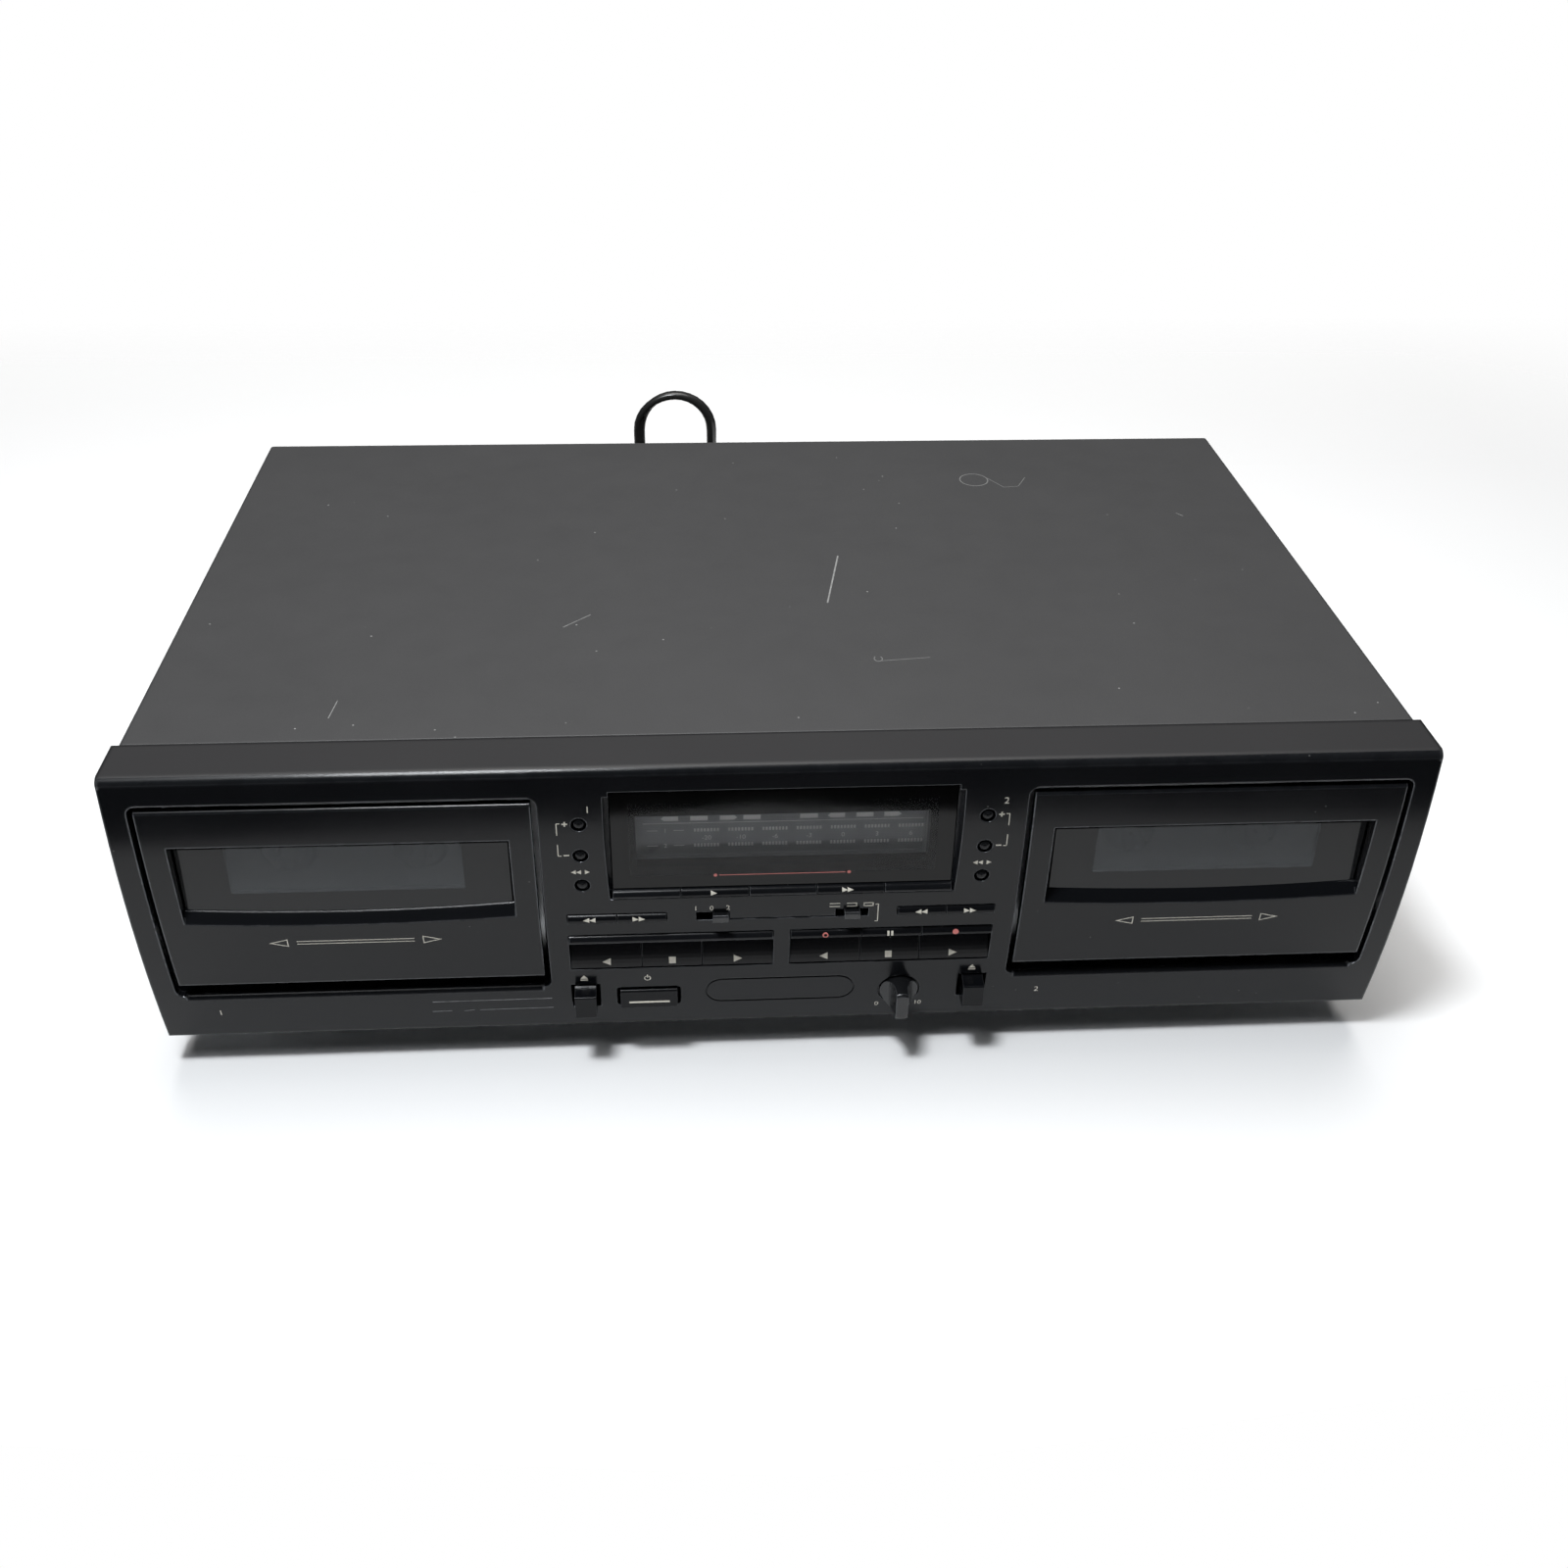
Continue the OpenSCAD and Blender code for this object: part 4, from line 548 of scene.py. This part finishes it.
# %% [markdown]
# ## The cover
# The cover is sheet steel with a fine textured charcoal paint, lighter along its rounded edges as a
# painted highlight. Shelves and other units have left dust, pale specks and a thin scratch on it, and
# two short fibres lie on it. A curl of a fibre is a thin ring, where a sum of squares is close to one.

# %% Painted sheet
cover_paint = Finish("cover_paint", (0.06, 0.06, 0.062), 0.5)
across_x, along_y, _ = cover_paint.axes()


def curl(across, along, middle, wide, long, width):
    """Mask of a thin ring about a middle, in millimetres."""
    x, y = (across - middle[0]) * (1 / wide), (along - middle[1]) * (1 / long)
    return abs(x * x + y * y - 1.0) < width


cover_soft = cover_paint.rounded(0.8)
scratches = scratch(across_x, along_y, (29.9, 13.7), (22.5, -26.0), 0.3)
for start, end in (
    ((174.5, 47.1), (172.4, 50.0)),
    ((-145.4, -102.4), (-144.2, -91.2)),
    ((-73.1, -42.0), (-63.6, -32.6)),
):
    scratches = scratches.most(scratch(across_x, along_y, start, end, 0.14))
scratches = scratches * (0.3 + cover_paint.noise(2.5, 3.0))
fibres = curl(across_x, along_y, (94.6, 86.8), 5.9, 6.4, 0.07)
fibres = fibres.most(curl(across_x, along_y, (36.4, -69.0), 1.4, 1.9, 0.2) * (along_y < -67.6))
for start, end in (
    ((37.4, -70.6), (54.5, -68.7)),
    ((100.6, 88.6), (106.1, 78.6)),
    ((106.1, 78.6), (112.5, 79.6)),
    ((112.5, 79.6), (116.9, 88.8)),
):
    fibres = fibres.most(scratch(across_x, along_y, start, end, 0.13))
scratches = scratches.most(0.55 * fibres)
specks = (cover_paint.cells(9.0) < 0.035) * (cover_paint.noise(70.0, 3.0) > 0.48)
cover_cloud = cover_paint.noise(70.0, 4.0)
cover_tint = cover_paint.mix(cover_cloud, (0.028, 0.0279, 0.0286), (0.036, 0.0357, 0.0365))
# Painted highlight: the colour is lighter along the rounded edges.
cover_tint = cover_paint.mix(0.5 * cover_paint.edges(cover_soft), cover_tint, (0.1, 0.1, 0.1))
cover_tint = cover_paint.mix((0.55 * specks).most(0.6 * scratches), cover_tint, (0.4, 0.4, 0.39))
cover_paint.set(
    **{
        "Base Color": cover_tint,
        "Roughness": 0.44 + 0.16 * cover_paint.noise(14.0, 3.0),
        "Normal": cover_paint.bump(cover_paint.noise(0.55, 3.0), 0.05, cover_soft),
    }
)
dress(cover_paint, "top_cover", "rear_panel")

# %% [markdown]
# ## Smoked windows
# Each door has a smoked window that is painted black from behind, but for a clear strip that shows
# the tape. The clear strip is tinted lighter, as painted light from the lit inside seen through it.
# Its margin is a dull black seam, a dark joint that is also painted shade where the recess edges
# shade the window. The display lens is smoked on its outer face alone, so that light is not dimmed
# twice each way. Both are glossy plates, and a mask on Alpha lets the eye through. Black metal
# mirrors nothing, so a share of Metallic dims the gloss round the tube.


# %% Windows
DECK_X, CLEAR_HALF_X, CLEAR_HALF_Z, CLEAR_Z, SEAM_Z = 140.2, 37.2, 9.1, 86.7, 95.2


def window_finish(name, middle, left, right):
    """Smoked plate with a clear strip tinted lighter as painted light from inside, and a dull black
    seam of painted shade that far left and right of its middle.
    """
    finish = Finish(name, (0.012, 0.012, 0.012), 0.07, Specular_IOR_Level=0.31)
    x, _, z = finish.axes()
    clear = (abs(x - middle) < CLEAR_HALF_X) * (abs(z - CLEAR_Z) < CLEAR_HALF_Z)
    # The seam: a dark joint, painted dull black also as the shade that the recess edges cast there.
    seam_shade = (x > middle + right).most(x < middle - left).most(z > SEAM_Z)
    # Painted light: the clear strip is tinted lighter grey for the lit inside seen through it.
    tint = finish.mix(clear, (0.006, 0.0068, 0.0078), (0.095, 0.103, 0.11))
    finish.set(
        **{
            "Base Color": finish.mix(seam_shade, tint, DULL_BLACK),
            "Metallic": seam_shade,
            "Roughness": 0.07 + 0.05 * finish.noise(20.0, 3.0),
            "Alpha": 1.0 - 0.3 * clear,
            "Normal": finish.bump(finish.noise(0.6, 2.0), 0.003),
        }
    )
    return finish


dress(window_finish("window_smoke_1", -DECK_X, 52.5, 51.9), "d1_door_window")
dress(window_finish("window_smoke_2", DECK_X, 51.1, 52.5), "d2_door_window")

# %% Display lens
LENS_MIDDLE, GLOSS_SHARE, CLEAR_SHARE = -133.5, 0.32, 0.68
HOLE_HALF_X, HOLE_HALF_Z, HOLE_Z = 47.5, 9.9, 94.4
PANE_HALF_X, PANE_HALF_Z, PANE_Z = 49.5, 14.0, 96.5
lens_smoke = Finish("lens_smoke", (0.01, 0.01, 0.01), 0.05, Specular_IOR_Level=0.8)
lens_x, lens_y, lens_z = lens_smoke.axes()
outer = lens_y < LENS_MIDDLE
shown = (abs(lens_x) < HOLE_HALF_X) * (abs(lens_z - HOLE_Z) < HOLE_HALF_Z)
pane = outer * (abs(lens_x) < PANE_HALF_X) * (abs(lens_z - PANE_Z) < PANE_HALF_Z)
smoke = lens_smoke.mix(lens_smoke.noise(40.0), (0.005, 0.0053, 0.0058), (0.008, 0.0083, 0.009))
lens_smoke.set(
    **{
        "Base Color": lens_smoke.mix(pane, DULL_BLACK, smoke),
        "Metallic": 1.0 - GLOSS_SHARE * outer - CLEAR_SHARE * pane,
        "Roughness": 0.05 + 0.05 * lens_smoke.noise(25.0, 3.0),
        "Alpha": 1.0 - CLEAR_SHARE * pane - (1.0 - outer) * shown,
    }
)
dress(lens_smoke, "display_lens")

# %% Display tube
tube_grey = Finish("tube_grey", (0.28, 0.29, 0.3), 0.3)
weave = tube_grey.node(
    "ShaderNodeTexWave", {"bands_direction": "Z"}, {"Vector": tube_grey.place, "Scale": 500.0}
)
tube_grey.set(
    **{
        "Base Color": tube_grey.mix(weave, (0.155, 0.1625, 0.174), (0.212, 0.2215, 0.236)),
        "Roughness": 0.25 + 0.1 * tube_grey.noise(15.0),
    }
)
dress(tube_grey, "display_tube")

# %% [markdown]
# ## Printed marks
# The panel carries pale printed marks: arrows, bars, plus and minus signs and numbers. Each mark is
# drawn flat in front of the deck, the ones on the same piece are joined, and a Shrinkwrap modifier
# presses the sheet onto the moulding behind it. That is how a pad prints on a curved face.


# %% Inks
def printing_ink(name, thin, full):
    """Printing ink that covers unevenly."""
    finish = Finish(name, full, 0.5)
    finish.set(
        **{
            "Base Color": finish.mix(finish.noise(1.2, 3.0), thin, full),
            "Roughness": 0.45 + 0.15 * finish.noise(3.0),
        }
    )
    return finish


cream_ink = printing_ink("cream_ink", (0.56, 0.53, 0.45), (0.8, 0.77, 0.68))
red_ink = printing_ink("red_ink", (0.5, 0.13, 0.12), (0.72, 0.24, 0.21))
segment_white = Finish("segment_white", (0.9, 0.9, 0.88), 0.6)
segment_tint = segment_white.mix(segment_white.noise(1.0, 3.0), (0.88, 0.88, 0.85), (0.96, 0.96, 0.94))
segment_white.set(**{"Base Color": segment_tint})
print("inks:", [finish.material.name for finish in (cream_ink, red_ink, segment_white)])

# %% Flat marks, drawn on a plane in front of the panel
FOOT = 12.5
PLANE_Y = -0.17


def added(scale, cut=0.0):
    """Applies the size of the mark that was just added, and cuts its middle out for an outline."""
    mark = bpy.context.object
    mark.scale = (*[s / 1000 for s in scale], 1)
    bpy.ops.object.transform_apply(location=True, rotation=True, scale=True)
    if cut:
        bpy.ops.object.mode_set(mode="EDIT")
        bpy.ops.mesh.select_all(action="SELECT")
        bpy.ops.mesh.inset(thickness=cut / 1000)
        bpy.ops.mesh.delete(type="FACE")
        bpy.ops.object.mode_set(mode="OBJECT")
    return mark


def spot(x, z, turn=0.0):
    bpy.ops.object.select_all(action="DESELECT")
    place = (x / 1000, PLANE_Y, (z + FOOT) / 1000)
    return {"location": place, "rotation": (math.pi / 2, math.radians(turn), 0)}


def bar(x, z, wide, high):
    bpy.ops.mesh.primitive_plane_add(size=1, **spot(x, z))
    return added((wide, high))


def arrow(x, z, length, breadth, turn, cut=0.0):
    """Triangle that points up at turn 0, right at 90 and left at -90."""
    back = length / 6
    lean = math.radians(turn)
    at = spot(x - back * math.sin(lean), z - back * math.cos(lean), turn)
    bpy.ops.mesh.primitive_circle_add(vertices=3, radius=1, fill_type="NGON", **at)
    return added((breadth / math.sqrt(3), length / 1.5), cut)


def disc(x, z, wide, high, cut=0.0):
    bpy.ops.mesh.primitive_circle_add(vertices=28, radius=1, fill_type="NGON", **spot(x, z))
    return added((wide / 2, high / 2), cut)


def number(body, x, z, high):
    bpy.ops.object.text_add(**spot(x, z - high / 2))
    written = bpy.context.object
    written.data.body = body
    written.data.align_x = "CENTER"
    written.data.size = high / 700
    bpy.ops.object.convert(target="MESH")
    bpy.ops.object.transform_apply(location=True, rotation=True, scale=True)
    return bpy.context.object


def join(marks):
    bpy.ops.object.select_all(action="DESELECT")
    for mark in marks:
        mark.select_set(True)
    bpy.context.view_layer.objects.active = marks[0]
    if len(marks) > 1:
        bpy.ops.object.join()
    return bpy.context.object


def print_on(node, name, ink, marks, proud=0.04, cuts=0):
    """Joins flat marks and presses them onto a CAD piece, to ride with it."""
    sheet = join(marks)
    sheet.name = sheet.data.name = name
    if cuts:
        bpy.ops.object.mode_set(mode="EDIT")
        bpy.ops.mesh.select_all(action="SELECT")
        bpy.ops.mesh.quads_convert_to_tris()
        bpy.ops.mesh.subdivide(number_cuts=cuts)
        bpy.ops.object.mode_set(mode="OBJECT")
    wrap = sheet.modifiers.new("press", "SHRINKWRAP")
    wrap.target = nodes[node]
    wrap.wrap_method = "PROJECT"
    wrap.use_project_y = True
    wrap.use_positive_direction = True
    wrap.use_negative_direction = True
    bpy.ops.object.modifier_apply(modifier=wrap.name)
    bpy.ops.transform.translate(value=(0, -proud / 1000, 0))
    bpy.ops.object.transform_apply(location=True, rotation=True, scale=True)
    sheet.data.materials.clear()
    sheet.data.materials.append(ink.material)
    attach(sheet, nodes[node]["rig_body"])
    deep = [v.co.y * 1000 for v in sheet.data.vertices]
    print(name, "faces", len(sheet.data.polygons), "y", round(min(deep), 2), "to", round(max(deep), 2))
    return sheet


# %% Marks on the front panel
panel_marks = [
    number("1", -190.0, 13.0, 2.4),
    number("2", 89.8, 13.0, 2.4),
    number("1", -62.0, 98.0, 2.4),
    number("2", 70.6, 98.0, 2.4),
    number("0", 34.0, 7.6, 2.0),
    number("10", 48.4, 7.6, 2.0),
    number("1", -28.6, 57.0, 1.9),
    number("0", -23.4, 57.0, 1.9),
    number("2", -18.0, 57.0, 1.9),
]
for side in (-1, 1):
    near, far = side * 69.4, side * 72.0
    panel_marks += [bar(near, 92.7, 1.8, 0.5), bar(near, 92.7, 0.5, 1.8), bar(near, 80.5, 1.8, 0.5)]
    for low, high, end in ((88.4, 92.9, 92.9), (80.3, 84.8, 80.3)):
        panel_marks.append(bar(far, (low + high) / 2, 0.32, high - low))
        panel_marks.append(bar(far - side * 0.55, end, 1.1, 0.32))
    for shift, turn in ((-2.6, -90), (-0.9, -90), (1.9, 90)):
        panel_marks.append(arrow(side * 65.0 + shift, 73.6, 1.6, 1.7, turn))
for x in (-66.7, 65.9):
    panel_marks += [arrow(x, 26.0, 1.7, 2.5, 0), bar(x, 24.5, 2.5, 0.5)]
panel_marks += [disc(-45.3, 24.6, 2.3, 2.3, 0.3), bar(-45.3, 25.6, 0.32, 1.5)]
panel_marks += [bar(31.7, 53.0, 0.32, 7.6), bar(31.2, 56.8, 1.0, 0.32), bar(31.2, 49.2, 1.0, 0.32)]
for x in (17.2, 22.9, 28.4):
    panel_marks += [bar(x, 57.5, 3.4, 0.35), bar(x, 56.2, 3.4, 0.35)]
panel_marks += [bar(x, 56.85, 0.35, 1.6) for x in (24.4, 26.9, 29.9)]
print_on("front_panel", "panel_print", cream_ink, panel_marks)

# %% Marks on the doors
for deck, middle in (("d1", -140.0), ("d2", 140.4)):
    door_marks = []
    for way in (-1, 1):
        door_marks.append(arrow(middle + way * 24.9, 46.3, 6.2, 3.4, way * 90, 0.32))
    for z in (46.9, 45.7):
        door_marks.append(bar(middle, z, 38.0, 0.3))
    print_on(f"{deck}_door", f"{deck}_door_print", cream_ink, door_marks)

# %% Marks on the keys
KEY_Z, SEEK_Z, COPY_Z, TOP_Z, KEY_PITCH = 32.8, 53.7, 63.7, 44.2, 22.1


def print_key(key, mark, shapes, colour=cream_ink):
    """Prints on a key, with enough faces to follow its rounded top."""
    print_on(f"{key}_key", f"{mark}_mark", colour, shapes, cuts=6)


for deck, left in (("d1", -58.8), ("d2", 14.4)):
    print_key(f"{deck}_play_reverse", f"{deck}_reverse", [arrow(left, KEY_Z, 2.8, 2.6, -90)])
    print_key(f"{deck}_stop", f"{deck}_stop", [bar(left + KEY_PITCH, KEY_Z, 2.3, 2.5)])
    forward = arrow(left + 2 * KEY_PITCH, KEY_Z, 2.8, 2.6, 90)
    print_key(f"{deck}_play_forward", f"{deck}_forward", [forward])
for deck, left, right in (("d1", -63.5, -47.3), ("d2", 46.0, 62.3)):
    back = [arrow(left + s, SEEK_Z, 2.1, 1.6, -90) for s in (-1.0, 1.0)]
    print_key(f"{deck}_rewind", f"{deck}_rewind", back)
    ahead = [arrow(right + s, SEEK_Z, 2.1, 1.6, 90) for s in (-1.0, 1.0)]
    print_key(f"{deck}_fast_forward", f"{deck}_wind", ahead)
print_key("record_mute", "record_mute", [disc(14.5, TOP_Z, 2.0, 1.8, 0.4)], red_ink)
print_key("pause", "pause", [bar(x, TOP_Z, 0.7, 1.7) for x in (35.6, 36.9)])
print_key("record", "record", [disc(58.3, TOP_Z, 2.1, 1.8)], red_ink)
print_key("copy_normal", "copy_normal", [arrow(-22.6, COPY_Z, 2.0, 1.5, 90)])
fast = [arrow(21.2 + s, COPY_Z, 2.0, 1.5, 90) for s in (-0.9, 0.9)]
print_key("copy_high", "copy_high", fast)
print_key("power", "power", [bar(-44.9, 13.9, 13.8, 0.75)])

# %% [markdown]
# ## The display
# Behind the lens stands a display tube with a level scale for two channels. Its segments are off,
# so they show as pale ticks on grey glass. One tick and an Array modifier give a group of eight,
# and a second Array gives the row.

# %% Scale on the display tube
scale_marks = []
for row in (82.4, 76.5):
    tick = bar(-28.4, row, 0.62, 1.3)
    for count, step in ((8, 1.07), (7, 11.13)):
        bpy.ops.object.modifier_add(type="ARRAY")
        array = tick.modifiers[-1]
        array.use_relative_offset = False
        array.use_constant_offset = True
        array.constant_offset_displace = (step / 1000, 0, 0)
        array.count = count
        bpy.ops.object.modifier_apply(modifier=array.name)
    scale_marks.append(tick)
for i, value in enumerate(("-20", "-10", "-6", "-3", "0", "3", "6")):
    scale_marks.append(number(value, -24.6 + 11.13 * i, 79.4, 1.7))
for row, label in ((82.4, "1"), (76.5, "2")):
    scale_marks += [bar(x, row, 3.4, 0.25) for x in (-42.2, -33.6)]
    scale_marks.append(number(label, -38.0, row, 1.6))
scale_marks.append(bar(0.4, 85.2, 91.0, 0.25))
for x, wide, turn in ((-36.0, 4.6, -90), (-27.0, 5.6, 0), (-18.0, 4.6, 90), (-9.9, 5.6, 0),
                      (8.6, 5.8, 0), (18.0, 4.6, -90), (26.8, 5.6, 0), (35.4, 4.6, 90)):
    scale_marks.append(bar(x, 87.0, wide, 1.7))
    if turn:
        scale_marks.append(arrow(x + math.copysign(wide / 2 + 0.55, turn), 87.0, 1.1, 1.7, turn))
print_on("display_tube", "display_scale", segment_white, scale_marks)
lens_line = [bar(-0.2, 69.7, 41.0, 0.28), disc(-22.0, 69.7, 1.2, 1.2), disc(21.5, 69.7, 1.2, 1.2)]
print_on("display_lens", "copy_line", red_ink, lens_line)

# %% [markdown]
# ## Metal, boards and rubber
# Little of the mechanism shows until a door opens or the case is turned round. Each of these pieces
# still gets a finish of its own: plated sheet, turned brass, lacquered boards and rubber.


# %% Finishes of the inner pieces
def plated(name, colour, low, high, spangle):
    finish = Finish(name, colour, high, metallic=1.0)
    flake = finish.cells(spangle)
    finish.set(
        **{
            "Base Color": finish.mix(flake, [c * 0.85 for c in colour], colour),
            "Roughness": low + (high - low) * finish.noise(8.0, 3.0),
            "Normal": finish.bump(finish.noise(0.4), 0.004, finish.rounded(0.3)),
        }
    )
    return finish


zinc_sheet = plated("zinc_sheet", (0.5, 0.51, 0.52), 0.3, 0.45, 6.0)
holder_steel = plated("holder_steel", (0.42, 0.42, 0.43), 0.25, 0.4, 3.0)
screw_black = plated("screw_black", (0.06, 0.06, 0.062), 0.35, 0.5, 1.0)
turned_brass = plated("turned_brass", (0.6, 0.45, 0.2), 0.2, 0.32, 2.0)
dress(zinc_sheet, "bottom_chassis", "deck_frames")
dress(screw_black, "case_screws")
dress(turned_brass, *ending("_flywheel"))
dress(holder_steel, "d1_cassette_holder", "d2_cassette_holder")

hub_grey = moulding("hub_grey", (0.05, 0.05, 0.052), 0.35, 0.5, 0.3, 0.006)
dress(hub_grey, *ending("_hub"))

rubber = Finish("foot_rubber", (0.014, 0.014, 0.014), 0.7)
rubber.set(
    **{
        "Base Color": rubber.mix(rubber.noise(5.0, 4.0), (0.011, 0.011, 0.011), (0.024, 0.024, 0.023)),
        "Roughness": 0.58 + 0.2 * rubber.noise(3.0),
        "Normal": rubber.bump(rubber.noise(0.6, 3.0), 0.05, rubber.rounded(0.5)),
    }
)
dress(rubber, "feet", "drive_belts")
dress(lead_pvc, "strain_relief")

board = Finish("board_lacquer", (0.03, 0.09, 0.05), 0.4)
brick = {"Vector": board.place, "Scale": 160.0, "Mortar Size": 0.03}
track = board.node("ShaderNodeTexBrick", None, brick, out=1)
board.set(
    **{
        "Base Color": board.mix(track, (0.03, 0.085, 0.045), (0.05, 0.13, 0.07)),
        "Roughness": 0.32 + 0.2 * board.noise(6.0),
        "Normal": board.bump(track, 0.03),
    }
)
dress(board, "circuit_boards")

core = Finish("core_plates", (0.16, 0.15, 0.14), 0.45, metallic=0.7)
leaves = core.node(
    "ShaderNodeTexWave", {"bands_direction": "Y"}, {"Vector": core.place, "Scale": 320.0}
)
core.set(
    **{
        "Base Color": core.mix(leaves, (0.09, 0.085, 0.08), (0.2, 0.19, 0.18)),
        "Roughness": 0.35 + 0.25 * core.noise(7.0),
        "Normal": core.bump(leaves, 0.05),
    }
)
dress(core, "transformer")

# %% [markdown]
# ## Pieces of two materials
# A head carriage holds steel and black rollers, a jack has a metal shell in a coloured collar, and
# the plug has metal pins. Each is one solid in the CAD model, so a mask on its coordinates decides
# where the metal is.

# %% Head carriages, jacks and plug
ROLLER_X, ROLLER_REACH = 31.0, 5.0
for deck, middle in (("d1", -DECK_X), ("d2", DECK_X)):
    head = Finish(f"{deck}_head_steel", (0.55, 0.55, 0.55), 0.3, metallic=1.0)
    x, _, _ = head.axes()
    roller = abs(abs(x - middle) - ROLLER_X) < ROLLER_REACH
    steel = head.mix(head.noise(3.0), (0.5, 0.5, 0.5), (0.6, 0.6, 0.6))
    head.set(
        **{
            "Base Color": head.mix(roller, steel, (0.015, 0.015, 0.015)),
            "Metallic": 1.0 - roller,
            "Roughness": 0.24 + 0.1 * head.noise(4.0) + 0.4 * roller,
        }
    )
    dress(head, f"{deck}_head_carriage")

JACKS_X, COLLAR_Y, SHELL_Y = 130.0, 130.38, 131.9
jacks = Finish("jack_shells", (0.02, 0.02, 0.02), 0.35)
x, y, _ = jacks.axes()
shell = y > SHELL_Y
collar = (y > COLLAR_Y) * (1.0 - shell)
ring_colour = jacks.mix(x > JACKS_X, (0.7, 0.7, 0.68), (0.5, 0.02, 0.02))
block_colour = jacks.mix(jacks.noise(10.0), (0.012, 0.012, 0.012), (0.02, 0.02, 0.02))
jack_tint = jacks.mix(collar, block_colour, ring_colour)
jacks.set(
    **{
        "Base Color": jacks.mix(shell, jack_tint, (0.62, 0.61, 0.58)),
        "Metallic": shell,
        "Roughness": 0.28 + 0.12 * jacks.noise(3.0),
        "Normal": jacks.rounded(0.25),
    }
)
dress(jacks, "phono_jacks")

PLUG_BODY = 49.05
plug_black = Finish("plug_black", (0.012, 0.012, 0.012), 0.45)
x, _, _ = plug_black.axes()
pin = x > PLUG.x + PLUG_BODY
plug_tint = plug_black.mix(plug_black.noise(12.0), (0.01, 0.01, 0.01), (0.02, 0.02, 0.02))
plug_black.set(
    **{
        "Base Color": plug_black.mix(pin, plug_tint, (0.66, 0.63, 0.56)),
        "Metallic": pin,
        "Roughness": 0.42 - 0.18 * pin + 0.1 * plug_black.noise(2.0),
        "Normal": plug_black.bump(plug_black.noise(0.5, 3.0), 0.03, plug_black.rounded(0.6)),
    }
)
dress(plug_black, "plug")

# %% [markdown]
# ## Floor and light
# The deck stands on a white sheet that ends a hand's width in front of it and fades out at its back
# and sides. A soft lamp with a brighter core hangs in front on the left, a wide one above and a long
# one behind. The black front mirrors the sheet, so its lower half is lighter than its upper half,
# and the left lamp draws bright lines along the rounded edges, over the highlight painted along them.

# %% Floor
FLOOR_FRONT, FLOOR_BACK, FLOOR_SIDE = -0.298, 0.7, 0.75
CORNER_CUT, FADE_BACK, FADE_SIDE = 0.036, 0.3, 0.25
bpy.ops.object.select_all(action="DESELECT")
bpy.ops.mesh.primitive_plane_add(size=1, location=(0, (FLOOR_FRONT + FLOOR_BACK) / 2, 0))
floor = bpy.context.object
floor.name = "floor"
floor.scale = (2 * FLOOR_SIDE, FLOOR_BACK - FLOOR_FRONT, 1)
bpy.ops.object.transform_apply(location=True, rotation=True, scale=True)
bpy.ops.object.mode_set(mode="EDIT")
bpy.ops.mesh.select_all(action="SELECT")
bpy.ops.mesh.subdivide(number_cuts=3)
bpy.ops.object.mode_set(mode="OBJECT")
for corner in floor.data.vertices:
    if corner.co.y < FLOOR_FRONT + 0.001 and abs(corner.co.x) > 0.1:
        corner.co.y += CORNER_CUT
floor_white = Finish("floor_white", (0.86, 0.86, 0.86), 0.7, Specular_IOR_Level=0.2)
floor_x, floor_y, _ = floor_white.axes()
fade_back = ((FLOOR_BACK * 1000 - floor_y) * (0.001 / FADE_BACK)).clamp()
fade_side = ((FLOOR_SIDE * 1000 - abs(floor_x)) * (0.001 / FADE_SIDE)).clamp()
floor_tint = floor_white.mix(floor_white.noise(300.0), (0.85, 0.85, 0.85), (0.88, 0.88, 0.88))
floor_white.set(**{"Base Color": floor_tint, "Alpha": fade_back * fade_side})
floor.data.materials.append(floor_white.material)
print("floor faces:", len(floor.data.polygons))

# %% Lamps
for name, place, aim, size, power, colour in (
    ("lamp_left", (-0.3, -0.42, 1.2), (-0.05, -0.1, 0.05), (0.5, 0.85), 4.5, (0.95, 0.975, 1.0)),
    ("lamp_core", (-0.26, -0.42, 1.19), (-0.05, -0.1, 0.05), (0.26, 0.16), 11.0, (0.94, 0.97, 1.0)),
    ("lamp_above", (0.1, 0.45, 1.8), (0.05, 0.4, 0.0), (1.4, 1.4), 25.0, (1.0, 0.985, 0.965)),
    ("lamp_back", (0.0, 1.5, 1.15), (0.0, 0.0, 0.1), (3.4, 1.1), 2.2, (1.0, 0.98, 0.98)),
):
    bpy.ops.object.light_add(type="AREA", location=place)
    lamp = bpy.context.object
    lamp.name = name
    lamp.data.shape = "ELLIPSE"
    lamp.data.size, lamp.data.size_y = size
    lamp.data.energy = power
    lamp.data.color = colour
    lamp.rotation_euler = (Vector(aim) - Vector(place)).to_track_quat("-Z", "Y").to_euler()
    print(name, power, "W")

# %% Surrounding
world = bpy.data.worlds.new("surrounding")
bpy.context.scene.world = world
world.use_nodes = True
sky = world.node_tree
dim = sky.nodes["Background"]
dim.inputs["Color"].default_value = (0.9, 0.95, 1.0, 1.0)
dim.inputs["Strength"].default_value = 0.05
white = sky.nodes.new("ShaderNodeBackground")
white.inputs["Color"].default_value = (1.0, 1.0, 1.0, 1.0)
seen = sky.nodes.new("ShaderNodeLightPath")
either = sky.nodes.new("ShaderNodeMixShader")
sky.links.new(seen.outputs["Is Camera Ray"], either.inputs[0])
sky.links.new(dim.outputs[0], either.inputs[1])
sky.links.new(white.outputs[0], either.inputs[2])
sky.links.new(either.outputs[0], sky.nodes["World Output"].inputs["Surface"])
bpy.context.scene.view_settings.view_transform = "Standard"
print("surrounding:", world.name)
